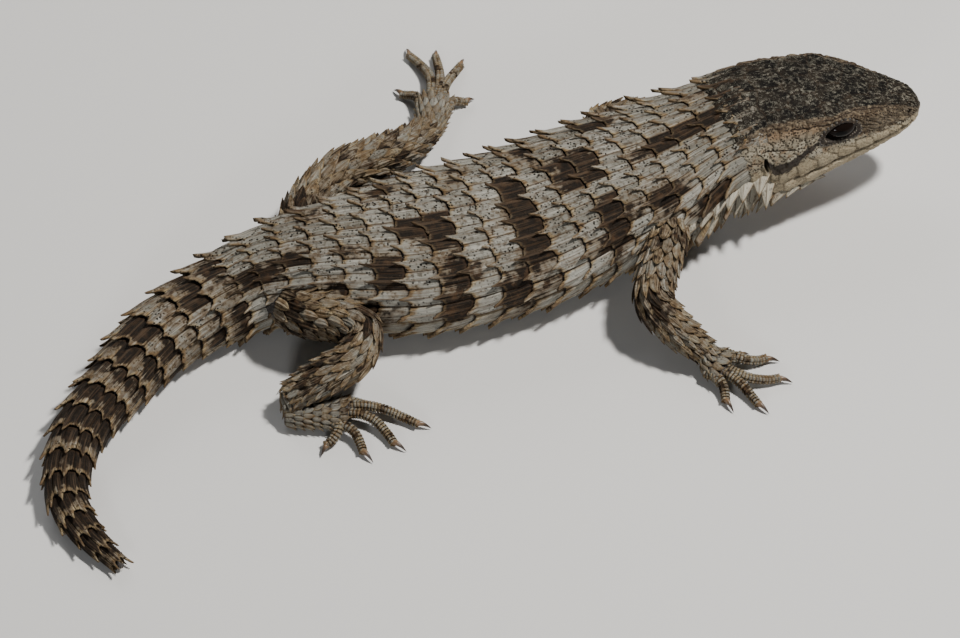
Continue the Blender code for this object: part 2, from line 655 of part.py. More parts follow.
def digit_mesh(start, tip):
    """A digit that arches from the palm to the floor, and its claw."""
    start, tip = np.array(start), np.array(tip)
    flat = tip - start
    length = np.linalg.norm(flat)
    claw = min(CLAW_LENGTH / length, 0.3)
    rows = []
    for share, height, wide in DIGIT_PROFILE:
        half = wide * DIGIT_HALF
        rows.append((*(start + share * (1.0 - claw) * flat), height, half, half * 0.92))
    tube = Tube(rows)
    angles = np.radians(-90.0 + 60.0 * (np.arange(6) + 0.5))
    rings = [tube.at(place, angles, 0.0) for place in np.linspace(0.0, tube.length, 6)]
    side = np.array([-flat[1], flat[0], 0.0]) / length
    spokes = np.cos(angles)[:, None] * side + np.sin(angles)[:, None] * (0.0, 0.0, 1.1)
    for share, height, half in CLAW_RINGS:
        centre = np.array([*(start + (1.0 - claw + claw * share) * flat), height])
        rings.append(centre + half * spokes)
    return tube_mesh(rings, np.array([*tip, CLAW_TIP]))


def hand_node(group, name, limb):
    """An ankle or wrist, a palm or sole and five digits, joined to one body clear of the limb."""
    side, kind = name.split("_")
    ahead = limb.tangent[-1]
    heel, palm = (np.array([*place, PALM_HEIGHT]) for place in PALMS[name])
    grip = PALM_HALF[kind]
    angles = np.radians(np.arange(10) * 36.0 + 18.0)
    face = limb_end(limb, angles)
    ankle = [face, face + 0.5 * ahead, 0.6 * face + 0.4 * heel + 0.4 * ahead]
    middle = 0.5 * heel + 0.5 * palm
    rows = ((*heel, grip * 0.75, SOLE_HALF), (*middle, grip * 0.92, SOLE_HALF), (*palm, grip, 0.95))
    tube = Tube(rows)
    sole = [tube.at(place, angles, 0.0) for place in np.linspace(0.0, tube.length, 4)]
    sole.insert(0, tube.at(0.0, angles, -0.4) - 0.4 * tube.tangent[0])
    sole.append(tube.at(tube.length, angles, -0.35) + 0.55 * tube.tangent[-1])
    flat = (palm - heel)[:2]
    flat = flat / np.linalg.norm(flat)
    across = np.array([-flat[1], flat[0]])
    tips = np.array(DIGITS[name])
    order = np.argsort(tips @ across)
    spread = np.linspace(-1.0, 1.0, len(tips)) * (grip - 0.55)
    pieces = [tube_mesh(ankle)]
    for rank, index in enumerate(order):
        start = palm[:2] + spread[rank] * across - (0.5 + 0.35 * abs(rank - 2)) * flat
        pieces.append(digit_mesh(start, tips[index]))
    mesh = combined(name, tube_mesh(sole), pieces, "UNION")
    places = np.linspace(limb.length - 5.0, limb.length, 7)
    room = [limb.at(place, angles, LIMB_RISE * 0.5 + GAP) for place in places]
    room[-1] = room[-1] + GAP / 2 * ahead
    mesh = combined(name, mesh, [tube_mesh(room)], "DIFFERENCE")
    return place_node(group, f"{side}_{LIMB_NODES[kind][2]}", mesh)


def limb_end(limb, angles):
    """The face of a hand or foot that meets its limb, half a gap beyond the limb's end."""
    return limb.at(limb.length, angles, -SUNK) + GAP / 2 * limb.tangent[-1]


def main():
    clear_scene()
    group = new_collection("girdled_lizard")
    draw = random.Random(11)
    made = bodies(group, draw)
    made += head_nodes(group, Tube(BODY_AXIS, forward=-1.0), draw)
    limbs = limb_tubes()
    for name, tube in limbs.items():
        made += limb_nodes(group, name, tube, draw)
        made.append(hand_node(group, name, tube))
    nodes = {obj.name: obj for obj in made}
    for node, kind in (("chest", "fore"), ("abdomen", "hind")):
        cutters = [limb_cutter(name, tube) for name, tube in limbs.items() if name.endswith(kind)]
        nodes[node].data = combined(node, nodes[node].data, cutters, "DIFFERENCE")
    for obj in made:
        first, last = obj.name.split("_")[0], obj.name.split("_")[-1]
        key = first if first in COLOURS else "foot" if last in ("hand", "foot") else "limb"
        obj.data.materials.clear()
        obj.data.materials.append(finish_of(obj.name + "_finish", COLOURS[key],
                                            EYE_ROUGHNESS if key == "eye" else SKIN_ROUGHNESS))


main()
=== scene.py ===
import math

import bmesh
import bpy
import numpy as np
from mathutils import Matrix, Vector


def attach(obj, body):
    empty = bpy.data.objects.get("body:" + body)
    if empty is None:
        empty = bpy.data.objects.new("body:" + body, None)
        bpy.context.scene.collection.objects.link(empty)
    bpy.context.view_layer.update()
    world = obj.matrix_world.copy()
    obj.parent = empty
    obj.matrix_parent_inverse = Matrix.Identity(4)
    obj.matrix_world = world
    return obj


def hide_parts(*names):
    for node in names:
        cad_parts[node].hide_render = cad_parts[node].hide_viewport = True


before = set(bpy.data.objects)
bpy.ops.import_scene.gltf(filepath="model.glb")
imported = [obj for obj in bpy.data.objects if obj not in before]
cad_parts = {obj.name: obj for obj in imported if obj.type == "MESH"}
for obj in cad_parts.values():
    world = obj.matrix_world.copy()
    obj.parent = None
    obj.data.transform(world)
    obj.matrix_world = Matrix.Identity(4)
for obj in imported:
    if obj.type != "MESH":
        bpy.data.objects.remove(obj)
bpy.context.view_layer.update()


# The skin of the whole animal, under the scales. It is thin, dark and granular, and shows only in
# the folds of the groin, armpits and neck and between the scales. It follows the trunk and tail,
# the four limbs, the palms and the toes in one surface, so that no seam shows between them.
MM = 0.001
PLACE = np.array([-0.71, -2.1, 0.0])        # the middle of the animal's box, in millimetres
SKIN_DEPTH = 0.3                            # of the skin under the crests of the scales
SKIN_GRAIN = 0.28                           # side of the cells that the skin is knit from
SQUARENESS = 0.88                           # under 1, a section is fuller than an oval

# The trunk and tail: x, y, height, half width and half height along the axis from the neck back.
TRUNK = (
    (30.0, 2.1, 9.4, 6.6, 4.9), (26.0, 1.6, 8.6, 6.8, 4.8), (20.3, 0.8, 7.2, 8.1, 5.2),
    (14.0, 0.2, 6.1, 8.8, 5.6), (5.0, -0.8, 5.25, 9.3, 5.5), (-5.0, -0.8, 5.05, 9.1, 5.3),
    (-13.0, 0.1, 5.0, 7.1, 4.9), (-18.5, 0.7, 4.6, 5.7, 4.5), (-23.0, 0.5, 4.0, 4.5, 4.0),
    (-31.3, -2.3, 3.1, 3.7, 3.2), (-37.7, -7.0, 2.5, 3.0, 2.6), (-42.7, -11.8, 2.05, 2.5, 2.15),
    (-45.2, -17.6, 1.6, 2.0, 1.7), (-44.7, -22.4, 1.2, 1.5, 1.3), (-42.1, -27.7, 0.6, 0.6, 0.55),
)
LIMBS = {
    "right_fore": (
        (20.3, -3.0, 6.8, 2.1, 2.1), (19.3, -7.6, 6.8, 2.1, 2.1), (16.9, -11.8, 5.9, 1.9, 1.9),
        (16.1, -14.4, 4.9, 1.85, 1.8), (17.6, -17.2, 3.4, 1.6, 1.5), (19.6, -19.3, 2.2, 1.35, 1.1),
    ),
    "left_fore": (
        (21.0, 3.2, 6.8, 2.1, 2.1), (20.2, 7.4, 6.2, 2.1, 2.1), (19.1, 10.3, 4.7, 1.9, 1.9),
        (19.3, 12.0, 3.4, 1.75, 1.8), (21.8, 13.2, 2.7, 1.5, 1.5), (25.2, 13.5, 2.1, 1.35, 1.1),
    ),
    "right_hind": (
        (-20.4, -1.4, 4.8, 2.4, 2.3), (-17.6, -5.7, 5.6, 2.3, 2.3), (-14.8, -8.2, 6.1, 2.0, 2.1),
        (-13.2, -10.5, 5.9, 1.75, 2.0), (-14.9, -12.7, 5.2, 1.75, 1.9),
        (-18.4, -13.2, 4.0, 1.7, 1.6), (-21.4, -13.3, 2.8, 1.5, 1.2),
    ),
    "left_hind": (
        (-17.0, 1.6, 4.8, 2.4, 2.3), (-14.2, 6.9, 5.7, 2.4, 2.3), (-9.8, 10.6, 6.2, 2.2, 2.1),
        (-6.1, 12.0, 5.8, 2.0, 2.0), (-3.4, 13.6, 4.6, 2.0, 1.9), (-0.6, 15.8, 3.0, 1.7, 1.5),
        (1.8, 18.0, 2.0, 1.5, 1.2),
    ),
}
# Each palm or sole from its heel to its knuckles, and the tip of each of its toes.
PALMS = {
    "right_fore": ((20.0, -19.8), (21.2, -21.2)), "left_fore": ((25.9, 13.7), (27.6, 14.0)),
    "right_hind": ((-22.0, -14.2), (-16.4, -15.8)), "left_hind": ((2.2, 18.6), (4.2, 22.8)),
}
TOES = {
    "right_fore": ((24.4, -19.4), (27.0, -21.2), (27.3, -24.2), (23.7, -27.3), (20.4, -26.1)),
    "left_fore": ((29.8, 11.0), (32.6, 12.2), (33.6, 14.4), (32.2, 16.7), (28.4, 17.5)),
    "right_hind": ((-12.2, -15.6), (-8.8, -19.3), (-12.0, -21.4), (-15.5, -21.8), (-20.2, -19.6)),
    "left_hind": ((8.4, 22.6), (9.1, 28.6), (6.6, 30.8), (3.6, 31.9), (0.6, 26.4)),
}
PALM_HALF = {"fore": 2.2, "hind": 2.0}
PALM_HEIGHT = 1.2
TOE_HALF = 0.45
TOE_BOW = 0.13                              # of its length, that a toe bends sideways
# Along a toe, the share of its length, the height of its axis and its breadth by TOE_HALF.
TOE_ARCH = (
    (0.0, 1.2, 1.0), (0.28, 1.35, 1.0), (0.55, 1.05, 0.96), (0.82, 0.66, 0.9), (1.0, 0.56, 0.82),
)
CLAW_LENGTH = 1.45
JOINT_DEPTH = 0.1                           # of the skin of the wrists and ankles, as SKIN_DEPTH
PALM_DEPTH = 0.15
TOE_DEPTH = 0.12


def smooth_path(rows, steps=24):
    """Points on a smooth curve through the rows, with every column eased alike."""
    rows = np.array(rows, float)
    ends = np.vstack([2 * rows[0] - rows[1], rows, 2 * rows[-1] - rows[-2]])
    ease = np.linspace(0.0, 1.0, steps, endpoint=False)[:, None]
    pieces = []
    for a, b, c, d in zip(ends, ends[1:], ends[2:], ends[3:]):
        pieces.append(b + 0.5 * ease * ((c - a) + ease * ((2 * a - 5 * b + 4 * c - d)
                      + ease * (3 * (b - c) + d - a))))
    return np.vstack(pieces + [rows[-1:]])


class Tube:
    """An oval tube along a bent axis. Angles start at its left side and rise over its back."""

    def __init__(self, rows, forward=1.0):
        self.path = smooth_path(rows)
        steps = np.linalg.norm(np.diff(self.path[:, :3], axis=0), axis=1)
        self.along = np.concatenate([[0.0], np.cumsum(steps)])
        self.length = self.along[-1]
        tangent = np.gradient(self.path[:, :3], self.along, axis=0)
        self.tangent = tangent / np.linalg.norm(tangent, axis=1)[:, None]
        side = np.cross([0.0, 0.0, 1.0], forward * self.tangent)
        self.side = side / np.linalg.norm(side, axis=1)[:, None]
        self.up = np.cross(forward * self.tangent, self.side)
        bend = np.gradient(self.tangent, self.along, axis=0)
        self.bend = np.sum(bend * self.side, axis=1)

    def read(self, values, place):
        """The values that are given for the points of the path, at each place along it."""
        place = np.clip(place, 0.0, self.length)
        return np.stack([np.interp(place, self.along, column) for column in values.T], axis=-1)

    def at(self, place, angle, lift):
        """A point at each place along the axis and angle round it, lifted off the surface."""
        place, angle, lift = np.broadcast_arrays(np.float64(place), angle, lift)
        row = self.read(self.path, place)
        past = (np.maximum(place - self.length, 0.0)[..., None] * self.tangent[-1]
                + np.minimum(place, 0.0)[..., None] * self.tangent[0])
        cos, sin = np.cos(angle), np.sin(angle)
        wide, high = row[..., 3], row[..., 4]
        out = np.stack([cos / wide, sin / high])
        out /= np.linalg.norm(out, axis=0)
        across = wide * np.sign(cos) * np.abs(cos) ** SQUARENESS + lift * out[0]
        over = high * np.sign(sin) * np.abs(sin) ** SQUARENESS + lift * out[1]
        return (row[..., :3] + past + across[..., None] * self.read(self.side, place)
                + over[..., None] * self.read(self.up, place))

    def room(self, place, angle):
        """1 on a straight stretch or the outside of a bend, falling to 0 in its fold."""
        place, angle = np.broadcast_arrays(np.float64(place), angle)
        bend = np.interp(place, self.along, self.bend)
        wide = np.interp(place, self.along, self.path[:, 3])
        return np.clip((1.0 - bend * wide * np.cos(angle)) / 0.7 - 0.45, 0.0, 1.0)


def ring_faces(count, rings, first=0):
    """Quads between closed rings of points, as rows of an array."""
    j = np.arange(count)
    k = (j + 1) % count
    base = first + count * np.arange(rings - 1)[:, None]
    return np.stack([base + j, base + k, base + count + k, base + count + j], axis=-1).reshape(-1, 4)


def make_piece(name, points, faces, finish, marks=None, spots=None):
    """One object from points in millimetres, with its marks and the map its colours bake to."""
    mesh = bpy.data.meshes.new(name)
    points = (np.asarray(points, float).reshape(-1, 3) + PLACE) * MM
    faces = np.asarray(faces, int)
    mesh.vertices.add(len(points))
    mesh.vertices.foreach_set("co", points.ravel())
    mesh.loops.add(faces.size)
    mesh.loops.foreach_set("vertex_index", faces.ravel())
    mesh.polygons.add(len(faces))
    mesh.polygons.foreach_set("loop_start", np.arange(0, faces.size, faces.shape[1]))
    mesh.update(calc_edges=True)
    mesh.validate()
    for key, values in (marks or {}).items():
        values = np.broadcast_to(values, len(points)).astype(float)
        mesh.attributes.new(key, "FLOAT", "POINT").data.foreach_set("value", values)
    if spots is not None:
        layer = mesh.uv_layers.new(name="OFBake")
        layer.data.foreach_set("uv", np.asarray(spots, float)[faces.ravel()].ravel())
    mesh.polygons.foreach_set("use_smooth", np.ones(len(faces), bool))
    mesh.materials.append(finish)
    piece = bpy.data.objects.new(name, mesh)
    bpy.context.scene.collection.objects.link(piece)
    return piece


class Level:
    """A number that changes over a surface. An expression on levels adds its Math nodes."""

    def __init__(self, finish, socket):
        self.finish, self.socket = finish, socket

    def __add__(self, other):
        return self.finish.sum("ADD", self, other)

    def __sub__(self, other):
        return self.finish.sum("SUBTRACT", self, other)

    def __rsub__(self, other):
        return self.finish.sum("SUBTRACT", other, self)

    def __mul__(self, other):
        return self.finish.sum("MULTIPLY", self, other)

    __radd__ = __add__
    __rmul__ = __mul__

    def most(self, other):
        return self.finish.sum("MAXIMUM", self, other)

    def ramp(self, low, high):
        """0 below low, 1 above high, and eased between them."""
        node = self.finish.node("MapRange", {"interpolation_type": "SMOOTHSTEP"},
                                Value=self, **{"From Min": low, "From Max": high})
        return Level(self.finish, node.outputs["Result"])


class Finish:
    """A material of one shader, built up from marks, grain and mixed colours."""

    def __init__(self, name, **fixed):
        self.material = bpy.data.materials.new(name)
        self.material.use_nodes = True
        self.tree = self.material.node_tree
        self.shader = self.tree.nodes["Principled BSDF"]
        for key, value in fixed.items():
            self.shader.inputs[key.replace("_", " ")].default_value = value
        self.spot = self.node("VectorMath", {"operation": "SCALE"}, Scale=1.0 / MM,
                              Vector=self.node("TexCoord").outputs["Object"]).outputs["Vector"]

    def node(self, kind, settings=None, **sockets):
        """One node, with its settings made first and then its sockets' values or links."""
        node = self.tree.nodes.new("ShaderNode" + kind)
        for key, value in (settings or {}).items():
            setattr(node, key, value)
        for key, value in sockets.items():
            name = int(key[1:]) if key[0] == "_" else key
            self.join(value, node.inputs[name])
        return node

    def join(self, value, socket):
        value = value.socket if isinstance(value, Level) else value
        if isinstance(value, bpy.types.NodeSocket):
            self.tree.links.new(value, socket)
        elif isinstance(value, tuple) and len(value) == 3 and socket.type == "RGBA":
            socket.default_value = (*value, 1.0)
        else:
            socket.default_value = value

    def sum(self, operation, first, second):
        node = self.node("Math", {"operation": operation}, _0=first, _1=second)
        return Level(self, node.outputs[0])

    def mark(self, name):
        return Level(self, self.node("Attribute", {"attribute_name": name}).outputs["Fac"])

    def grain(self, size, detail=3.0, spot=None, stretch=None):
        """Smooth noise of about the given size in millimetres, near 0.5 on average."""
        spot = self.spot if spot is None else spot
        if stretch:
            spot = self.node("VectorMath", {"operation": "MULTIPLY"}, _0=spot, _1=stretch).outputs[0]
        node = self.node("TexNoise", Vector=spot, Scale=1.0 / size, Detail=detail)
        return Level(self, node.outputs["Fac"])

    def dots(self, size, spot=None):
        """Distance to the nearest of many scattered points, in parts of their spacing."""
        spot = self.spot if spot is None else spot
        node = self.node("TexVoronoi", Vector=spot, Scale=1.0 / size)
        return Level(self, node.outputs["Distance"])

    def mix(self, amount, low, high):
        """One colour turned into another where the amount is 1."""
        node = self.node("Mix", {"data_type": "RGBA"}, _0=amount, _6=low, _7=high)
        return node.outputs[2]

    def coats(self, colour, *layers):
        """A colour with others laid over it in turn, each given as its amount and itself."""
        for amount, layer in layers:
            colour = self.mix(amount, colour, layer)
        return colour

    def dress(self, colour, rough=None, relief=None, depth=0.1):
        """Gives the shader its colour, and its roughness and relief where they vary."""
        self.join(colour, self.shader.inputs["Base Color"])
        if rough is not None:
            self.join(rough, self.shader.inputs["Roughness"])
        if relief is not None:
            bump = self.node("Bump", Height=relief, Distance=depth * MM, Strength=1.0)
            self.join(bump.outputs["Normal"], self.shader.inputs["Normal"])
        return self.material


def skin_finish():
    """Dark granular skin, paler and creamy under the throat and belly."""
    finish = Finish("granular_skin", Roughness=0.7)
    pale = finish.mark("pale")
    grain = finish.dots(0.28)
    colour = finish.mix(pale, (0.022, 0.018, 0.016), (0.33, 0.26, 0.17))
    colour = finish.mix(grain.ramp(0.5, 0.1) * 0.5, colour, (0.16, 0.14, 0.12))
    return finish.dress(colour, relief=grain.ramp(0.65, 0.0), depth=0.07)


trunk_tube = Tube(TRUNK, forward=-1.0)
limb_tubes = {name: Tube(rows) for name, rows in LIMBS.items()}

# The head is measured from the tip of the snout back, and is turned a little to the right. Each
# row has the half widths and heights of the crown, brow, cheek, lip, jaw and throat there.
SNOUT = np.array([49.2, 0.2, 9.3])
HEAD_TURN = math.radians(7.0)
HEAD_HORN = 1.0                             # depth of the skin under the head's shields
HEAD_SHAPE = (
    (0.0, 0.5, 0.35, 0.4, 0.45, 0.1, 0.5, -0.1, 0.4, -0.35, -0.45),
    (0.3, 1.2, 0.8, 0.9, 1.1, 0.3, 1.2, -0.15, 0.9, -0.8, -1.0),
    (1.0, 1.9, 1.3, 1.5, 1.8, 0.5, 1.9, -0.2, 1.4, -1.2, -1.45),
    (2.2, 2.5, 1.8, 2.1, 2.6, 0.7, 2.6, -0.25, 2.1, -1.5, -1.9),
    (4.2, 3.2, 2.6, 2.8, 3.5, 1.0, 3.6, -0.35, 2.9, -1.9, -2.3),
    (7.0, 4.1, 3.7, 3.7, 4.5, 1.4, 4.6, -0.6, 3.9, -2.3, -2.9),
    (10.0, 4.8, 4.6, 4.3, 5.2, 1.5, 5.4, -1.0, 4.8, -2.8, -3.5),
    (13.0, 5.1, 4.8, 4.4, 6.0, 1.2, 6.2, -1.5, 5.6, -3.4, -4.0),
    (16.0, 5.1, 5.0, 4.2, 6.5, 0.9, 6.7, -1.9, 6.2, -3.9, -4.5),
    (19.0, 4.9, 4.9, 3.8, 6.5, 0.7, 6.8, -2.0, 6.4, -4.0, -4.6),
    (21.0, 4.7, 4.6, 3.4, 6.2, 0.7, 6.5, -2.0, 6.2, -3.8, -4.5),
    (23.0, 4.4, 4.3, 3.0, 5.8, 0.5, 6.0, -2.0, 5.7, -3.6, -4.3),
)
HEAD_BACK = np.array([-math.cos(HEAD_TURN), math.sin(HEAD_TURN), 0.0])
HEAD_LEFT = np.array([math.sin(HEAD_TURN), math.cos(HEAD_TURN), 0.0])
HEAD_UP = np.array([0.0, 0.0, 1.0])


def head_point(back, out, above):
    """Back from the snout, out to the left and above the mouth."""
    back, out, above = np.broadcast_arrays(back, out, above)
    return (SNOUT + back[..., None] * HEAD_BACK + out[..., None] * HEAD_LEFT
            + above[..., None] * HEAD_UP)


def head_half(back, place):
    """Out and above at places round half the head: 0 is the crown's middle, 2 the brow, 4 the
    cheek, 5 the mouth, 6 the jaw and 8 the throat's middle."""
    shape = smooth_path(HEAD_SHAPE, 12)
    crown, brow_w, brow_z, cheek_w, cheek_z, lip_w, lip_z, jaw_w, jaw_z, throat = (
        np.interp(back, shape[:, 0], column) for column in shape.T[1:])
    none = np.zeros_like(crown)
    out = np.stack([none, 0.55 * brow_w, brow_w, 0.35 * brow_w + 0.65 * cheek_w, cheek_w,
                    lip_w, jaw_w, 0.5 * jaw_w, none])
    above = np.stack([crown, 0.75 * crown + 0.25 * brow_z, brow_z,
                      0.45 * brow_z + 0.55 * cheek_z, cheek_z, lip_z, jaw_z,
                      0.92 * throat + 0.08 * jaw_z, throat])
    keys = np.stack([out, above], axis=-1)
    keys = np.concatenate([keys[1:2] * (-1, 1), keys, keys[-2:-1] * (-1, 1)])
    first = np.minimum(place.astype(int), 7)
    t = (place - first)[:, None, None]
    a, b, c, d = (keys[first + step] for step in range(4))
    half = b + 0.5 * t * ((c - a) + t * ((2 * a - 5 * b + 4 * c - d) + t * (3 * (b - c) + d - a)))
    return np.swapaxes(half, 0, 1)


def with_back(half, back):
    """The points of half sections as back, out and up."""
    back = np.broadcast_to(back[:, None, None], half.shape[:2] + (1,))
    return np.concatenate([back, half], axis=-1)


def head_normals(half, back):
    """Unit directions out of the head at every point of its half sections, as back, out, up."""
    grid = with_back(half, back)
    normal = np.cross(np.gradient(grid, axis=0), np.gradient(grid, axis=1))
    normal /= np.linalg.norm(normal, axis=-1)[..., None] + 1e-9
    normal[:, 0, 1] = normal[:, -1, 1] = 0.0
    return normal


def closed_shell(rings):
    """Rings of points joined by faces and closed at both ends, to knit the skin from."""
    count = rings.shape[1]
    points = np.vstack([rings.reshape(-1, 3), rings[0].mean(axis=0), rings[-1].mean(axis=0)])
    faces = ring_faces(count, len(rings)).tolist()
    last = (len(rings) - 1) * count
    for j in range(count):
        k = (j + 1) % count
        faces.append((len(points) - 2, k, j))
        faces.append((len(points) - 1, last + j, last + k))
    return points, faces


def head_shell(lift):
    """A closed skin inside the head."""
    back, place = np.linspace(1.3, 22.5, 40), np.linspace(0.0, 8.0, 24)
    half = head_half(back, place)
    spot = with_back(half, back) + lift * head_normals(half, back)
    ring = np.concatenate([spot, spot[:, -2:0:-1] * (1, -1, 1)], axis=1)
    return closed_shell(head_point(*np.moveaxis(ring, -1, 0)))


def even_turns(count):
    """Angles at even steps once round."""
    return np.linspace(0.0, 2 * math.pi, count, endpoint=False)


def tube_shell(tube, lift, start=0.0, count=28, step=0.6):
    """A closed skin along a tube."""
    places = np.linspace(start, tube.length, max(4, round((tube.length - start) / step)))
    return closed_shell(tube.at(places[:, None], even_turns(count), lift))


def toe_tubes(name):
    """The palm of a hand or sole of a foot, and its toes, as tubes."""
    grip = PALM_HALF[name.split("_")[1]]
    heel, palm = (np.array(place) for place in PALMS[name])
    flat = (palm - heel) / np.linalg.norm(palm - heel)
    across = np.array([-flat[1], flat[0]])
    middle = 0.5 * (heel + palm)
    sole = Tube(((*heel, PALM_HEIGHT, grip * 0.7, 1.05), (*middle, PALM_HEIGHT, grip * 0.85, 1.0),
                 (*palm, PALM_HEIGHT, grip * 0.95, 0.85)))
    tips = np.array(TOES[name])
    toes = []
    for rank, index in enumerate(np.argsort(tips @ across)):
        spread = (rank - 2) / 2 * (grip - 0.55)
        start = palm + spread * across - (0.5 + 0.35 * abs(rank - 2)) * flat
        reach = tips[index] - start
        bare = 1.0 - min(CLAW_LENGTH / np.linalg.norm(reach), 0.3)
        outward = np.clip(-3.0 * across @ reach / np.linalg.norm(reach), -1.0, 1.0)
        bow = TOE_BOW * outward * np.array([-reach[1], reach[0]])
        rows = [(*(start + share * bare * reach + math.sin(math.pi * share) * bow), height,
                 TOE_HALF * wide, TOE_HALF * wide * 0.94) for share, height, wide in TOE_ARCH]
        toes.append((Tube(rows), tips[index]))
    return sole, toes


def joint_tube(tube, sole):
    """The wrist or ankle, which bends from a limb down to its palm or sole."""
    return Tube(((*tube.path[-8, :3], 1.3, 1.0), (*tube.path[-1, :3], 1.15, 0.95),
                 (*sole.path[6, :3], 1.1, 0.9)))


def knit_skin():
    """Every length of the animal joined to one even surface."""
    shells = [tube_shell(trunk_tube, -SKIN_DEPTH, start=0.8, count=48), head_shell(-HEAD_HORN)]
    for name, tube in limb_tubes.items():
        shells.append(tube_shell(tube, -SKIN_DEPTH))
        sole, toes = toe_tubes(name)
        shells.append(tube_shell(joint_tube(tube, sole), -JOINT_DEPTH))
        shells.append(tube_shell(sole, -PALM_DEPTH))
        shells += [tube_shell(toe, -TOE_DEPTH, count=14, step=0.4) for toe, _ in toes]
    form = bmesh.new()
    for points, faces in shells:
        verts = [form.verts.new(point * MM) for point in points + PLACE]
        for face in faces:
            form.faces.new([verts[i] for i in face])
    bmesh.ops.recalc_face_normals(form, faces=form.faces)
    mesh = bpy.data.meshes.new("skin")
    form.to_mesh(mesh)
    form.free()
    skin = bpy.data.objects.new("skin", mesh)
    bpy.context.scene.collection.objects.link(skin)
    knit = skin.modifiers.new("knit", "REMESH")
    knit.mode = "VOXEL"
    knit.voxel_size = SKIN_GRAIN * MM
    ease = skin.modifiers.new("ease", "SMOOTH")
    ease.iterations = 3
    graph = bpy.context.evaluated_depsgraph_get()
    skin.data = bpy.data.meshes.new_from_object(skin.evaluated_get(graph))
    skin.modifiers.clear()
    return skin


skin = knit_skin()
spot = np.zeros(len(skin.data.vertices) * 3)
skin.data.vertices.foreach_get("co", spot)
spot[2::3] = np.maximum(spot[2::3], 0.0)    # nothing reaches below the floor
skin.data.vertices.foreach_set("co", spot)
turned = np.zeros(len(skin.data.vertices) * 3)
skin.data.vertices.foreach_get("normal", turned)
below = np.clip(-turned[2::3] * 1.6 - 0.2, 0.0, 1.0)
skin.data.attributes.new("pale", "FLOAT", "POINT").data.foreach_set("value", below)
skin.data.polygons.foreach_set("use_smooth", np.ones(len(skin.data.polygons), bool))
skin.data.materials.clear()
skin.data.materials.append(skin_finish())
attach(skin, "root")
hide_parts(*[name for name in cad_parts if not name.startswith("eye")])


# The back, flanks and neck carry girdles of large bony scales in straight lengthwise rows. Each
# is a horny plate with a keel that runs out in a spine over the scale behind it. They are worn
# pale grey with black specks, tan at the free edge, and blotched with dark red-brown.
GIRDLES = 20                # from the back of the head to the hip
NECK_START = -1.9           # on the trunk's axis, a little in front of its first row
TAIL_START = 54.6           # on the trunk's axis, at the hip
BACK_COLUMNS = 20
BACK_MIDDLE = 9.5           # where the spine lies among them, counted from the left side
TRUNK_OVAL = (9.4, 5.5)     # half width and half height where the trunk is widest
BELLY_SHARE = 0.2           # of the girth
PLATE_GRID = (12, 17)       # fineness of each scale's surface, lengthwise and across
TUCK = 0.42                 # how deep a scale's hidden edges lie

# A scale's traits are given in cells. The spine is how far its point runs on, in its own lengths.
# Rise, keel, ribs and groove are heights in millimetres, and lifted is how steeply the point
# stands up. Lean and skew move the keel and the free edge sideways, and fray wears that edge.
# Tone, warm, speck and dark are the shares of its colours, and fine makes all of its relief less.


def plate_grid(rows, columns):
    """Places over one scale: 0 to 1 from its root to its free edge, and -1 to 1 across it.
    The last two rows turn under the free edge."""
    down = np.concatenate([np.linspace(0.0, 1.0, rows), [1.0, 1.0]])
    spread = np.linspace(-1.0, 1.0, columns)
    across = np.sign(spread) * np.abs(spread) ** 1.25
    a, c = np.meshgrid(down, across, indexing="ij")
    under = np.repeat([0.0] * rows + [0.5, 1.0], columns).reshape(a.shape)
    i = (np.arange(rows + 1)[:, None] * columns + np.arange(columns - 1)).ravel()
    faces = np.stack([i, i + columns, i + columns + 1, i + 1], axis=-1)
    return a.ravel(), c.ravel(), under.ravel(), faces


def keeled_form(a, c, under, cell):
    """Lengthwise place, sideways place and lift of a keeled scale with a spine."""
    point = np.clip(1.0 - np.abs(c - cell["lean"]) / cell["point_width"], 0.0, 1.0) ** 1.3
    fray = np.sin(c * 19.0 + cell["tone"] * 30.0) + 0.6 * np.sin(c * 37.0 + cell["tone"] * 90.0)
    rear = 1.0 + cell["spine"] * point - 0.07 * np.abs(c) ** 5 + cell["fray"] * fray * 0.02
    past = np.maximum(a * rear - 1.0, 0.0)
    along = -0.08 + a * (rear + 0.08)
    ridge = c - cell["lean"] * a
    keel = np.exp(-np.abs(ridge) / cell["keel_width"]) * (0.12 + 0.88 * a ** 1.3)
    lift = (-0.12 + cell["rise"] * a ** 0.85 + cell["keel"] * keel
            + 0.10 * (1.0 - c * c) * np.sin(math.pi * (0.1 + 0.75 * a))
            + cell["ribs"] * np.cos(c * cell["rib_count"] + cell["tone"] * 20.0) * (0.3 + 0.7 * a)
            + cell["lifted"] * past * (1.0 - under))
    lift = lift - cell["groove"] * np.clip((np.abs(c) - 0.88) / 0.12, 0.0, 1.0) ** 2
    lift = np.where(under > 0.6, -0.5, lift - 0.1 * (under > 0.0)) - TUCK * (a == 0.0)
    along = np.where(under > 0.6, 0.6, along)
    side = c * (1.02 - 0.03 * a) + cell["skew"] * a
    return along, side, lift * cell["fine"]


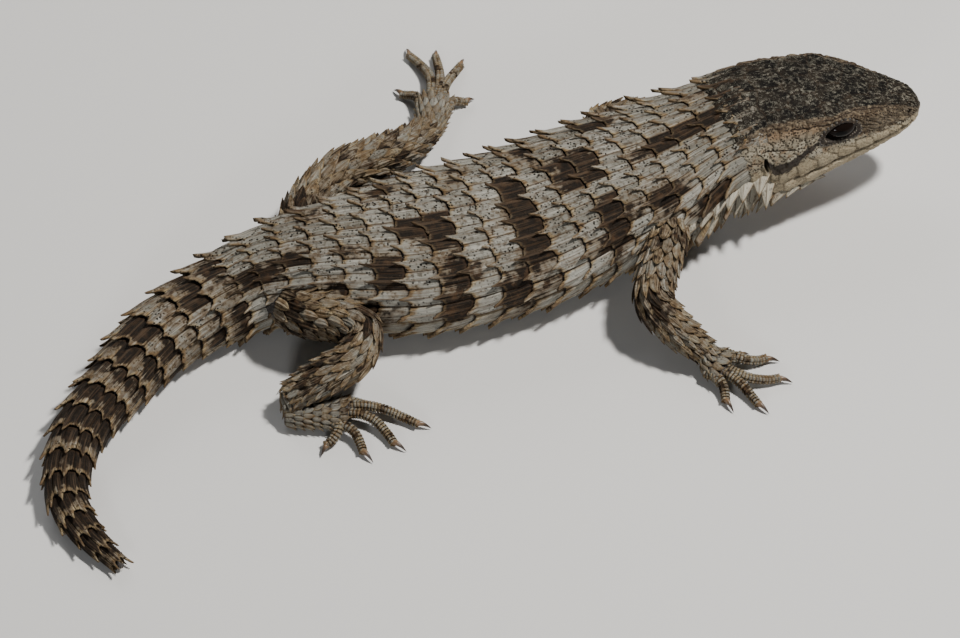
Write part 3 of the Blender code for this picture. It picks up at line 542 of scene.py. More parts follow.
def lay_scales(tube, cells, form, grid=PLATE_GRID):
    """Every scale of a piece at once: points, faces, marks and bake map. Each cell has the
    places of its front and rear, its two angles and the traits that its form reads."""
    a, c, under, faces = plate_grid(*grid)
    count = len(cells["turn"])
    cells = {key: np.broadcast_to(np.asarray(value, float), count)[:, None]
             for key, value in cells.items()}
    along, side, lift = form(a, c, under, cells)
    middle = 0.5 * (cells["turn"] + cells["turn_end"])
    half = 0.5 * (cells["turn_end"] - cells["turn"])
    place = cells["front"] + along * (cells["rear"] - cells["front"])
    points = tube.at(place, middle + side * half, lift)
    points[..., 2] = np.maximum(points[..., 2], 0.0)
    all_faces = (faces[None] + (np.arange(count) * len(a))[:, None, None]).reshape(-1, 4)
    marks = {"along": a, "across": c, **{key: cells[key] for key in ("tone", "dark", "warm", "speck")}}
    marks = {key: np.broadcast_to(value, (count, len(a))).ravel() for key, value in marks.items()}
    low, high = cells["front"].min(), cells["rear"].max()
    u = (cells["front"] + (0.04 + 0.92 * np.minimum(a * 0.9 + under * 0.1, 1.0))
         * (cells["rear"] - cells["front"]) - low) / (high - low)
    turns = cells["turn"].min(), cells["turn_end"].max()
    v = (middle + 0.94 * c * half - turns[0]) / (turns[1] - turns[0])
    return points.reshape(-1, 3), all_faces, marks, np.stack([u, v], axis=-1).reshape(-1, 2)


def girth_angles(weights, wide, high, start, share):
    """Angles that part a share of an oval's girth by the weights, from start degrees."""
    fine = np.radians(start) + np.linspace(0.0, 2 * math.pi, 2001)
    ring = np.stack([wide * np.cos(fine), high * np.sin(fine)], axis=1)
    girth = np.concatenate([[0.0], np.cumsum(np.linalg.norm(np.diff(ring, axis=0), axis=1))])
    parts = np.concatenate([[0.0], np.cumsum(weights)]) / np.sum(weights)
    return np.interp(parts * share * girth[-1], girth, fine)


def scale_finish(name, dull, bright):
    """Worn horn between a dull and a bright grey, specked with black, ribbed along, tan at the
    free edge and blotched. On ringed plates, as on the toes, dark lines part it instead."""
    finish = Finish(name, Roughness=0.62, Specular_IOR_Level=0.10)
    ringed = finish.mark("ringed")
    streaked = 1.0 - ringed * 0.85
    along, across = finish.mark("along"), finish.mark("across")
    tone, dark = finish.mark("tone"), finish.mark("dark")
    warm, speck = finish.mark("warm"), finish.mark("speck")
    local = finish.node("CombineXYZ", X=across * 3.2, Y=along * 1.1, Z=tone * 60.0).outputs[0]
    ribs = finish.grain(0.3, 4.0, local, (1.6, 0.35, 1.0))
    lines = finish.grain(0.3, 2.0, local, (3.4, 0.3, 1.0))
    wrinkles = finish.grain(0.3, 3.0, local, (0.62, 0.2, 1.0))
    cloud = finish.grain(0.9, 3.0)
    fine = finish.grain(0.14, 2.0)
    flank = across * across
    mottle = finish.grain(0.45, 4.0).ramp(0.46, 0.66) * speck * speck * 0.85
    grey = finish.coats(
        finish.mix(tone, dull, bright),
        ((cloud - 0.2) * 0.5, tuple(1.2 * part for part in bright)),
        (speck * 0.22, (0.10, 0.09, 0.07)),
        (mottle, (0.075, 0.062, 0.045)))
    tan = finish.mix(cloud.ramp(0.35, 0.65), (0.32, 0.245, 0.135), (0.175, 0.11, 0.05))
    edge = (along.ramp(0.72, 1.0) * 0.75 + flank.ramp(0.3, 1.0) * 0.45 + warm
            + (cloud - 0.5) * 0.9).ramp(0.2, 1.0)
    creases = wrinkles.ramp(0.53, 0.64) * (0.35 + edge * 0.35)
    grooves = ribs.ramp(0.52, 0.70) * (0.4 + edge * 0.4)
    dots = finish.dots(0.33).ramp(0.42, 0.26) * finish.grain(0.8, 1.0).ramp(0.38, 0.56)
    blotch = dark + (cloud - 0.5) * 0.8 + (wrinkles - 0.5) * 0.5
    heart = finish.grain(0.7, 3.0).ramp(0.42, 0.72) * (1.0 - flank.ramp(0.25, 0.85))
    rust = finish.coats(
        finish.mix(heart * (1.15 - speck * 0.7), (0.012, 0.009, 0.0065), (0.070, 0.038, 0.019)),
        (wrinkles.ramp(0.48, 0.36) * 0.35, (0.10, 0.065, 0.038)),
        (fine.ramp(0.60, 0.78) * 0.25, (0.15, 0.115, 0.085)))
    # Painted shadow: a dark line down the middle of every scale, along its keel.
    keel_shadow_line = flank.ramp(0.02, 0.0) * along.ramp(0.05, 0.4)
    # The seam darkens the side edges of every scale, where the rows meet, its free edge and, on ringed
    # plates, the front of each ring. Its last term is painted contact shade over the root of every
    # scale, where the scale in front overlaps it.
    seam = flank.ramp(0.82, 0.96).most(0.3 * along.ramp(0.97, 1.0))
    seam = seam.most(ringed * along.ramp(0.5, 0.15)).most(along.ramp(0.2, 0.06) * 0.9)
    colour = finish.coats(
        grey,
        (edge, tan),
        (creases * streaked, (0.075, 0.05, 0.032)),
        (wrinkles.ramp(0.44, 0.34) * 0.35 * streaked, (0.54, 0.51, 0.44)),
        (grooves * streaked, (0.07, 0.045, 0.028)),
        (lines.ramp(0.56, 0.66) * 0.5 * streaked, (0.055, 0.04, 0.03)),
        (dots * (0.15 + speck * 0.85), (0.012, 0.010, 0.008)),
        (blotch.ramp(0.12, 0.45) * 0.6, (0.135, 0.09, 0.048)),
        (blotch.ramp(0.38, 0.55) * (1.0 - along.ramp(0.88, 1.0) * 0.7), rust),
        # Painted shadow along the keels.
        (keel_shadow_line * 0.4, (0.10, 0.065, 0.04)),
        # The seams, with painted contact shade at the roots of the scales.
        (seam * 0.8, (0.05, 0.03, 0.018)))
    relief = wrinkles * 0.7 + ribs * 0.5 + lines * 0.4 + fine * 0.3 + dots * -0.3
    return finish.dress(colour, 0.5 + fine * 0.3, relief, depth=0.12)


scale_horn = scale_finish("horn_scales", (0.165, 0.16, 0.132), (0.40, 0.39, 0.34))
draw = np.random.default_rng(7)             # one stream of chance for all the scales


def nearest_nape(row):
    """1 in the first girdle, falling to 0 behind the neck."""
    return np.clip(1.2 - row / 3.5, 0.0, 1.0)


def each_cell(rows, columns):
    """The row and the column of every cell, one row after another."""
    return np.divmod(np.arange(rows * columns), columns)


def trunk_cells(places, turns):
    """One cell for each crossing of a girdle and a lengthwise row, with its traits."""
    row, column = each_cell(len(places) - 1, len(turns) - 1)
    middle = 0.5 * (turns[column] + turns[column + 1])
    count = len(row)
    side = np.sign(np.cos(middle))
    low = np.clip(0.62 - np.sin(middle), 0.0, 1.0)          # 1 low on the flanks
    top = np.clip(np.sin(middle), 0.0, 1.0)
    neck = np.clip(1.0 - np.abs(row - 1.6) / 3.0, 0.0, 1.0) * np.clip(1.3 * low, 0.0, 1.0)
    nape = nearest_nape(row) * np.clip(2.0 * np.sin(middle) - 0.8, 0.0, 1.0)
    size = draw.uniform(0.8, 1.2, count)
    cells = {
        "front": places[row], "rear": places[row + 1] + draw.uniform(-0.12, 0.12, count),
        "turn": turns[column], "turn_end": turns[column + 1],
        "spine": (0.46 - 0.20 * low + 0.28 * low ** 3 + 0.55 * neck) * size,
        "point_width": 0.36 + 0.25 * low + 0.5 * neck,
        "lean": draw.uniform(-0.12, 0.12, count) - 0.12 * low * side,
        "lifted": 1.15 - 0.2 * low + 0.3 * neck,
        "rise": 0.24 - 0.05 * low + 0.12 * low ** 3 + 0.3 * neck, "keel": (0.42 - 0.3 * low) * size,
        "keel_width": 0.12 + 0.03 * low, "ribs": 0.02 + 0.035 * low,
        "rib_count": 15.0 - 2.0 * low, "fray": 0.7 + 1.4 * low, "skew": -0.20 * low * side,
        "tone": draw.uniform(0.0, 1.0, count) * (1.0 - 0.45 * top) * (1.0 - nape),
        "warm": 0.02 + 0.22 * low + 0.14 * low ** 3 + 0.2 * nape + draw.uniform(-0.1, 0.1, count),
        "speck": np.clip(0.15 + 0.95 * np.sin(middle) + draw.uniform(-0.3, 0.3, count), 0.05, 1.05),
        "dark": 0.0, "fine": 1.0, "groove": 0.12 + 0.1 * low,
    }
    return row, column, middle, cells


# The dark blotches of the right side and over the spine, each as the girdle and lengthwise row of
# its middle and its half length and half width in scales. The left side has the right side's,
# set half a girdle back.
MIRRORED_BELOW = 6.5        # the columns that count as the left side
BLOTCHES = (
    (6.4, 9.6, 0.8, 1.0), (9.2, 10.1, 0.7, 1.6), (9.1, 13.2, 0.9, 1.9), (9.9, 15.2, 0.7, 1.4),
    (5.7, 12.7, 1.0, 1.2), (6.4, 14.4, 0.6, 1.2), (12.3, 10.3, 1.2, 0.9), (11.6, 12.9, 0.6, 1.3),
    (12.1, 14.8, 0.7, 1.2), (14.2, 11.6, 0.6, 1.1), (13.8, 13.4, 0.8, 0.8), (15.4, 10.9, 0.7, 0.7),
    (17.0, 11.0, 0.9, 0.8), (18.6, 11.6, 0.8, 1.4), (2.4, 10.1, 2.2, 0.5), (3.6, 13.0, 0.7, 1.1),
    (2.2, 14.8, 1.0, 0.8), (0.2, 8.8, 0.5, 1.4), (10.6, 7.2, 0.6, 1.0), (7.6, 7.0, 0.6, 1.0),
    (4.6, 7.0, 0.7, 0.9), (13.6, 7.2, 0.6, 1.0), (16.4, 7.4, 0.7, 1.0), (15.8, 13.6, 0.5, 0.9),
    (14.7, 15.3, 0.8, 1.2),
)


def blotched(row, column):
    """How dark a place is, from its girdle and lengthwise row."""
    left = column < MIRRORED_BELOW
    row, column = row - 0.5 * left, np.where(left, BACK_COLUMNS - column, column)
    dark = np.zeros(np.shape(row))
    for at_row, at_column, half_rows, half_columns in BLOTCHES:
        away = np.hypot((row - at_row - 0.5) / half_rows, (column - at_column - 0.5) / half_columns)
        dark = np.maximum(dark, np.clip(1.4 - away, 0.0, 1.0))
    return dark


girdle_places = NECK_START + (TAIL_START - NECK_START) * np.arange(GIRDLES + 1) / GIRDLES
row_weights = 0.78 + 0.30 * np.sin(math.pi * (np.arange(BACK_COLUMNS) + 0.5) / BACK_COLUMNS)
half_belly = 180.0 * BELLY_SHARE * 0.82         # in degrees, less than its share as it is flat
back_turns = girth_angles(row_weights, *TRUNK_OVAL, -90.0 + half_belly, 1.0 - BELLY_SHARE)
row, column, middle, cells = trunk_cells(girdle_places, back_turns)
kept = (row > 0) | (np.sin(middle) > 0.55)      # the first girdle lies on the nape alone
row, column = row[kept], column[kept]
cells = {key: np.broadcast_to(value, len(kept))[kept] for key, value in cells.items()}
points, faces, marks, spots = lay_scales(trunk_tube, cells, keeled_form)

# A blotch darkens whole scales, a few of them less, and its edge shows a little within them.
by_scale = blotched(row + 0.5, column + 0.5) * draw.choice((0.35, 1.0, 1.0, 1.0), len(row))
on_nape = nearest_nape(row) * (np.abs(column - BACK_MIDDLE) < 3)
by_scale += draw.uniform(-0.3, 0.3, len(row)) + 0.3 * on_nape
each = len(marks["along"]) // len(row)
along_rows = np.repeat(row, each) + marks["along"]
across_rows = np.repeat(column, each) + 0.5 + 0.5 * marks["across"]
marks["dark"] = 0.65 * np.repeat(by_scale, each) + 0.35 * blotched(along_rows, across_rows)
back_scales = make_piece("back_scales", points, faces, scale_horn, marks, spots)
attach(back_scales, "root")


# The belly is covered by rows of smooth, nearly square plates that overlap to the rear. They are
# pale horn that turns tan towards the edges, with few specks and no keels.
BELLY_COLUMNS = 12
BELLY_GRID = (7, 8)
belly_turns = girth_angles(
    np.ones(BELLY_COLUMNS), *TRUNK_OVAL, math.degrees(back_turns[-1]), BELLY_SHARE)
_, _, _, cells = trunk_cells(girdle_places[1:], belly_turns)
cells.update(spine=0.05, point_width=1.0, rise=0.2, keel=0.0, ribs=0.0, fray=0.0, skew=0.0,
             lean=0.0, lifted=0.0, warm=0.5, speck=0.1)
points, faces, marks, spots = lay_scales(trunk_tube, cells, keeled_form, BELLY_GRID)
belly_plates = make_piece("belly_plates", points, faces, scale_horn, marks, spots)
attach(belly_plates, "root")


# The tail is ringed by whorls of long, strongly keeled scales whose spines stand out backwards
# and to the sides. It is banded dark brown and speckled grey, with tan spine tips.
WHORLS = 15
LAST_WHORL = 0.66           # length of the last whorl against the first
WHORL_SCALES = (14, 9)      # round the first whorl and the last
TAIL_POINT = 0.7            # bare length of the tip
BAND_TURN = 2.1             # how fast the bands come, in radians for each whorl


def join_scales(parts):
    """Several laid groups as one, each on its own strip of the bake map."""
    points, faces, spots, first = [], [], [], 0
    for number, (p, f, _, s) in enumerate(parts):
        points.append(p)
        faces.append(f + first)
        spots.append((s * (1.0, 0.98) + (0.0, number)) / (1.0, len(parts)))
        first += len(p)
    marks = {key: np.concatenate([part[2][key] for part in parts]) for key in parts[0][2]}
    return np.vstack(points), np.vstack(faces), marks, np.vstack(spots)


sizes = np.linspace(1.0, LAST_WHORL, WHORLS)
shares = np.concatenate([[0.0], np.cumsum(sizes)]) / sizes.sum()
whorl_places = TAIL_START + (trunk_tube.length - TAIL_POINT - TAIL_START) * shares
parts = []
for whorl, (front, rear) in enumerate(zip(whorl_places, whorl_places[1:])):
    count = round(WHORL_SCALES[0] + (WHORL_SCALES[1] - WHORL_SCALES[0]) * whorl / (WHORLS - 1))
    turns = np.linspace(-math.pi / 2, 3 * math.pi / 2, count + 1)
    middle = 0.5 * (turns[:-1] + turns[1:])
    over = np.clip(0.75 + 0.7 * np.sin(middle), 0.05, 1.0) * trunk_tube.room(rear, middle)
    fade = 1.0 - 0.5 * whorl / WHORLS
    size = draw.uniform(0.85, 1.12, count)
    band = 0.5 + 0.5 * math.sin(whorl * BAND_TURN + 0.6) + 0.5 * min(1.0, max(0.0, (whorl - 4) / 4))
    low = np.clip(0.3 - np.sin(middle), 0.0, 1.0)
    cells = {
        "front": front, "rear": rear, "turn": turns[:-1], "turn_end": turns[1:],
        "spine": (0.30 + 0.2 * whorl / WHORLS) * size * over, "point_width": 0.5,
        "rise": 0.14 + 0.4 * over * fade, "keel": (0.1 + 0.42 * over * fade) * size,
        "keel_width": 0.17, "ribs": 0.02, "rib_count": 15.0, "fray": 0.8, "skew": 0.0,
        "lean": draw.uniform(-0.1, 0.1, count), "lifted": 0.8 * over,
        "fine": 1.0 - 0.35 * whorl / WHORLS, "groove": 0.2,
        "tone": draw.uniform(0.0, 0.4, count) * (1.0 - 0.9 * whorl / WHORLS),
        "warm": 0.1 + 0.35 * whorl / WHORLS + 0.5 * low,
        "speck": draw.uniform(0.9, 1.2, count) + 0.4 * whorl / WHORLS,
        "dark": np.clip(band + draw.uniform(-0.5, 0.4, count), 0.25 + 0.4 * min(1.0, whorl / 6), 1.0),
    }
    parts.append(lay_scales(trunk_tube, cells, keeled_form))
points, faces, marks, spots = join_scales(parts)
marks["dark"] = marks["dark"] * np.clip(1.35 - marks["along"], 0.0, 1.0)
tail_scales = make_piece("tail_scales", points, faces, scale_horn, marks, spots)
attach(tail_scales, "root")


# The head is roofed by rough bony shields fused to the skull, with smooth lip shields and a dark
# mask behind the eyes. It is dark brown above, flecked with pale bone, and creamy on the cheeks,
# lips and jaw, where fine black dots stand. It is one surface, as the shields grow together.
HEAD_LENGTH = 23.0
HEAD_GRID = (300, 165)      # rings from the snout back, and points round half of each
MOUTH_REACH = 14.6
EYE = (9.5, 2.75)           # back from the snout and above the mouth
EYE_OPENING = (1.5, 0.86)   # half length and half height between the lids
EYE_SAG = 0.10              # how much the opening curves down at both ends
NOSTRIL = (1.55, 1.15, 0.3)         # back, above the mouth and radius
EAR = (18.6, 0.3, 0.6, 1.05)        # back, above the mouth, half length and half height
NAPE = 19.4                 # back from the snout, where the trunk's own axis starts
SNOUT_TIP = ((0.03, 0.2), (0.4, 0.17), (0.75, 0.09))    # rings before the first: size and lead
LIP_PLACE = 4.62            # round the head, as its half sections count
CHIN_PLACE = 5.42
THROAT_PLACE = 6.15
# Lines along the head, as distance back and place round: the lower edge of the dark crown, the
# stripe from the eye down to the ear and the thin line over the temple.
CROWN_EDGE = (
    (0.0, 2.5), (2.0, 2.1), (4.0, 1.65), (7.5, 1.5), (11.5, 1.85), (14.0, 1.7), (19.0, 1.65),
    (23.0, 1.9),
)
EYE_STRIPE = (
    (10.5, 3.3), (11.9, 3.45), (13.1, 3.8), (14.1, 4.15), (15.2, 4.3), (16.7, 4.35), (18.2, 4.1),
)
TEMPLE_LINE = ((14.0, 3.45), (15.2, 3.2), (16.5, 3.05), (18.5, 3.05))
# Middles of the shields on one side, as distance back and place round.
CROWN_SHIELDS = (
    (0.7, 0.0), (2.3, 0.0), (2.2, 1.4), (4.3, 0.8), (7.0, 0.0), (9.8, 0.55), (12.6, 0.0), (12.9, 1.0),
    (16.0, 0.6), (15.6, 1.6), (6.4, 1.5), (8.3, 1.6), (10.2, 1.65), (11.9, 1.75), (18.6, 0.35),
    (18.7, 1.05), (18.6, 1.7), (21.2, 0.3), (21.2, 0.9), (21.3, 1.5), (21.2, 2.1),
)
FACE_SHIELDS = (
    (0.5, 3.0), (1.6, 2.6), (3.3, 2.5), (3.1, 3.7), (5.2, 2.7), (5.4, 3.7), (7.2, 2.6), (7.4, 3.9),
    (8.8, 4.15), (10.4, 4.15), (12.0, 4.0), (12.2, 3.2), (12.3, 2.6), (7.6, 2.2), (9.4, 2.25),
    (11.2, 2.3),
)
LIP_SHIELDS = (0.4, 1.7, 3.1, 4.8, 6.7, 8.7, 10.8, 13.0, 15.2)
CHIN_SHIELDS = (0.6, 2.3, 4.4, 6.8, 9.3, 11.9, 14.3, 16.6)
THROAT_SHIELDS = (2.4, 5.0, 7.8, 10.6, 13.2, 15.6, 17.8)


def crowded(low, high, count, crowds):
    """Steps from low to high that stand closer near each crowd's middle."""
    fine = np.linspace(low, high, 4000)
    density = np.ones_like(fine)
    for middle, reach, extra in crowds:
        density += extra * np.exp(-((fine - middle) / reach) ** 2)
    share = np.cumsum(density) - density[0]
    return np.interp(np.linspace(0.0, share[-1], count), share, fine)


def ripple(x, y, seed):
    """Smooth noise between 0 and 1 over two coordinates."""
    size = 97
    table = np.random.default_rng(seed).random((size, size))
    i, j = np.floor(x).astype(int), np.floor(y).astype(int)
    u, v = x - i, y - j
    u, v = u * u * (3 - 2 * u), v * v * (3 - 2 * v)
    low, high = (table[i % size, k % size] * (1 - u) + table[(i + 1) % size, k % size] * u
                 for k in (j, j + 1))
    return low * (1 - v) + high * v


def eased(value, low, high):
    """0 below low, 1 above high, and eased between them."""
    value = np.clip((value - low) / (high - low), 0.0, 1.0)
    return value * value * (3 - 2 * value)


def between(value, start, full, fade, end):
    """1 from full to fade, eased to 0 at start and at end."""
    return eased(value, start, full) * (1.0 - eased(value, fade, end))


def bump(value, middle, reach):
    """1 at the middle, falling to about a third at its reach."""
    return np.exp(-((value - middle) / reach) ** 2)


def head_seeds():
    """The middles of every scale on one side of the head, as distance back and place."""
    seeds = list(CROWN_SHIELDS) + list(FACE_SHIELDS)
    for place, backs in ((LIP_PLACE, LIP_SHIELDS), (CHIN_PLACE, CHIN_SHIELDS),
                         (THROAT_PLACE, THROAT_SHIELDS)):
        seeds += [(back, place) for back in backs]
    for back in np.arange(13.8, 22.9, 1.45):
        seeds += [(back + 0.72 * (step % 2), 2.35 + 0.55 * step) for step in range(4)]
    seeds += [(back, place) for back in (17.0, 18.6, 20.2, 21.8) for place in (4.5, 5.1, 5.8)]
    for number, place in enumerate(np.arange(6.75, 8.1, 0.3)):
        seeds += [(back, place) for back in np.arange(3.0 + 0.5 * (number % 2), 22.9, 1.05)]
    jitter = np.random.default_rng(3)
    return np.array([(back + jitter.uniform(-0.12, 0.12), place) for back, place in seeds])


def head_surface():
    """The points, faces and marks of the whole head."""
    back = crowded(0.0, HEAD_LENGTH, HEAD_GRID[0], ((0.3, 1.0, 1.2), (EYE[0], 1.6, 0.9)))
    place = crowded(0.0, 8.0, HEAD_GRID[1], ((3.0, 0.8, 0.8), (5.0, 0.3, 2.2)))
    half = head_half(back, place)
    normal = head_normals(half, back)
    girth = np.concatenate([np.zeros((len(back), 1)), np.cumsum(
        np.linalg.norm(np.diff(half, axis=1), axis=2), axis=1)], axis=1)
    b = np.broadcast_to(back[:, None], girth.shape)
    p = np.broadcast_to(place, girth.shape)
    out, above = half[..., 0], half[..., 1]
    seeds = head_seeds()
    rows = np.interp(seeds[:, 0], back, np.arange(len(back))).round().astype(int)
    seed_girth = np.array([np.interp(q, place, girth[r]) for r, q in zip(rows, seeds[:, 1])])
    away = np.hypot(b[..., None] - seeds[:, 0], girth[..., None] - seed_girth)
    order = np.argpartition(away, 1, axis=-1)[..., :2]
    near = np.take_along_axis(away, order, axis=-1)
    cell = order[..., 0]
    gap = near[..., 1] - near[..., 0]
    middle = np.abs(girth) + 10.0 * (p > 1.0)
    on_axis = seeds[cell, 1] > 0.02
    gap = np.where(on_axis & (2.0 * middle < gap), 2.0 * middle, gap)
    seam = 1.0 - eased(gap, 0.01, 0.15)

    wave = 0.5 * ripple(b / 1.3, np.full_like(b, 3.0), 8)
    wave = wave + 0.3 * ripple(b / 0.5, 9.0 + p / 0.6, 9) - 0.4
    ridge = np.interp(b, *np.transpose(CROWN_EDGE)) + 0.35 * wave
    crown = 1.0 - eased(p - ridge, -0.12, 0.16)
    temple = bump(p, np.interp(b, *np.transpose(TEMPLE_LINE)), 0.05)
    streak = np.maximum.reduce((
        bump(p - ridge, 0.22, 0.05) * between(b, 3.0, 5.0, 10.5, 12.5),
        bump(p - ridge, 0.5, 0.05) * between(b, 8.5, 9.5, 14.5, 15.5),
        temple * between(b, 13.6, 14.6, 18.4, 19.4)))
    stripe = bump(p + 0.3 * wave, np.interp(b, *np.transpose(EYE_STRIPE)), 0.25)
    stripe = stripe * between(b, 9.6, 11.2, 17.6, 19.0)
    mouth = np.array([np.interp(5.0, place, row) for row in girth])[:, None]
    split = bump(girth, mouth, 0.13) * between(b, 0.0, 0.5, MOUTH_REACH - 0.8, MOUTH_REACH + 0.4)
    far = 9.0
    socket = np.hypot(np.abs((b - EYE[0]) / EYE_OPENING[0]) ** 0.8,
                      (above - EYE[1] + EYE_SAG * (b - EYE[0]) ** 2) / EYE_OPENING[1])
    socket = np.where((p > 1.7) & (p < 4.6), socket, far)
    ear = np.hypot((b - EAR[0]) / EAR[2], (above - EAR[1]) / EAR[3])
    ear = np.where((p > 3.0) & (p < 5.4), ear, far)
    nostril = np.hypot(b - NOSTRIL[0], above - NOSTRIL[1]) / NOSTRIL[2]
    nostril = np.where((p > 1.5) & (p < 4.4), nostril, far)
    dusk = 0.9 * (1.0 - eased(p, 3.6, 4.3)) * (1.0 - eased(b, 9.0, 12.5))
    dusk = np.clip(1.0 - eased(p - ridge, 0.1, 0.8) + dusk, 0.0, 1.0)

    sides = []
    for side in (1, -1):
        g = girth * side
        drift = 0.35 * ripple(b / 1.1, g / 0.9 + 30, 5)
        ridged = np.abs(2 * ripple(b / 0.5, (g + drift) / 0.15 + 60, 1) - 1)
        rough = 0.5 * (1 - ridged) + 0.5 * ripple(b / 0.24 + 9, g / 0.12 + 80, 2)
        peak = np.clip((rough - 0.42) / 0.45, 0.0, 1.0)
        tilt = np.clip((b - seeds[cell, 0]) / 0.7, -1.0, 1.0) * eased(b, 10.5, 12.5)
        calm = 1.0 - np.minimum(1.0, bump(socket, 0.9, 0.5) + split)
        pitted = (0.10 + 0.10 * dusk) * (ripple(b / 0.34, g / 0.13 + 60, 4) - 0.5)
        lift = 0.04 * (1.0 - seam) + 0.05 * eased(gap, 0.0, 0.6) + crown * 0.30 * (rough - 0.45)
        lift += (1.0 - crown) * calm * (0.09 * tilt + pitted) - 0.1 * streak
        lift += 0.12 * bump(p, 2.0, 0.22) * bump(b, 8.8, 3.4)
        lift += 0.10 * bump(p, LIP_PLACE, 0.3) * (1.0 - seam) * eased(b, 0.4, 1.5) - 0.34 * split
        lift += 0.07 * bump(p, 5.3, 0.2) * (1.0 - seam) * (b < MOUTH_REACH + 1)
        lift *= eased(b, -0.2, 1.4) * 0.8 + 0.2
        rim = bump(socket, 1.22, 0.16)
        lift = lift * eased(socket, 0.9, 1.6) + 0.14 * rim - 0.10 * bump(socket, 1.62, 0.14)
        lift -= 1.5 * (1.0 - eased(socket, 0.80, 1.06)) + 0.34 * bump(socket, 1.0, 0.1)
        lift += 0.08 * bump(ear, 1.15, 0.18) - 0.75 * (1.0 - eased(ear, 0.65, 1.05))
        lift += 0.07 * bump(nostril, 1.35, 0.35) - 0.5 * (1.0 - eased(nostril, 0.5, 1.0))
        spot = np.stack([b, out, above], axis=-1) + lift[..., None] * normal
        spot[:, 0, 1] = spot[:, -1, 1] = 0.0
        spot[..., 1] *= side
        tone = np.random.default_rng(17).random(len(seeds))[cell]
        mask = np.maximum(stripe, bump(socket, 1.05, 0.42))
        marks = {"crown": crown, "seam": seam, "peak": peak, "tone": tone,
                 "lip": between(p, 4.15, 4.4, 4.98, 5.02), "jaw": between(p, 4.98, 5.02, 6.3, 6.7),
                 "throat": eased(p, 6.2, 6.7), "mask": mask, "streak": streak, "dusk": dusk,
                 "brow": bump(p, 2.15, 0.4) * between(b, 3.0, 6.0, 17.0, 20.0),
                 # Painted shade: this marks the ear openings and nostrils, which the finish paints
                 # near black for the shadow inside them.
                 "hole": np.maximum(1.0 - eased(ear, 0.6, 1.1), 1.0 - eased(nostril, 0.6, 1.0)),
                 "split": split, "back": b, "round": g, "relief": lift}
        sides.append((spot, marks))
    (left, marks), (right, right_marks) = sides
    ring = np.concatenate([left, right[:, -2:0:-1]], axis=1)
    for key, value in right_marks.items():
        marks[key] = np.concatenate([marks[key], value[:, -2:0:-1]], axis=1).ravel()
    points = head_point(*np.moveaxis(ring, -1, 0))
    count = points.shape[1]
    around = girth / girth[:, -1:]
    angle = math.pi / 2 - math.pi * np.concatenate([around, -around[:, -2:0:-1]], axis=1)
    onto = ring[..., 0] - NAPE
    relief = marks.pop("relief").reshape(onto.shape)
    nape = trunk_tube.at(onto, angle, 0.08 + relief - 0.6 * eased(onto, 0.9, 3.2))
    share = eased(ring[..., 0], NAPE - 3.4, NAPE + 0.4)[..., None]
    points = (1.0 - share) * points + share * nape
    middle = points[0].mean(axis=0)
    tip = [middle + size * (points[0] - middle) - ahead * HEAD_BACK for size, ahead in SNOUT_TIP]
    points = np.concatenate([tip, points])
    marks = {key: np.concatenate([np.tile(value[:count], len(tip)), value])
             for key, value in marks.items()}
    u = np.broadcast_to(np.linspace(0.0, 1.0, len(points))[:, None], (len(points), count))
    v = np.broadcast_to(np.linspace(0.0, 1.0, count), u.shape)
    j = np.arange(1, count // 2 - 1)
    cap = np.stack([count - j, count - 1 - j, j + 1, j], axis=-1)
    faces = np.vstack([cap, ring_faces(count, len(points))])
    return points.reshape(-1, 3), faces, marks, np.stack([u, v], axis=-1).reshape(-1, 2)


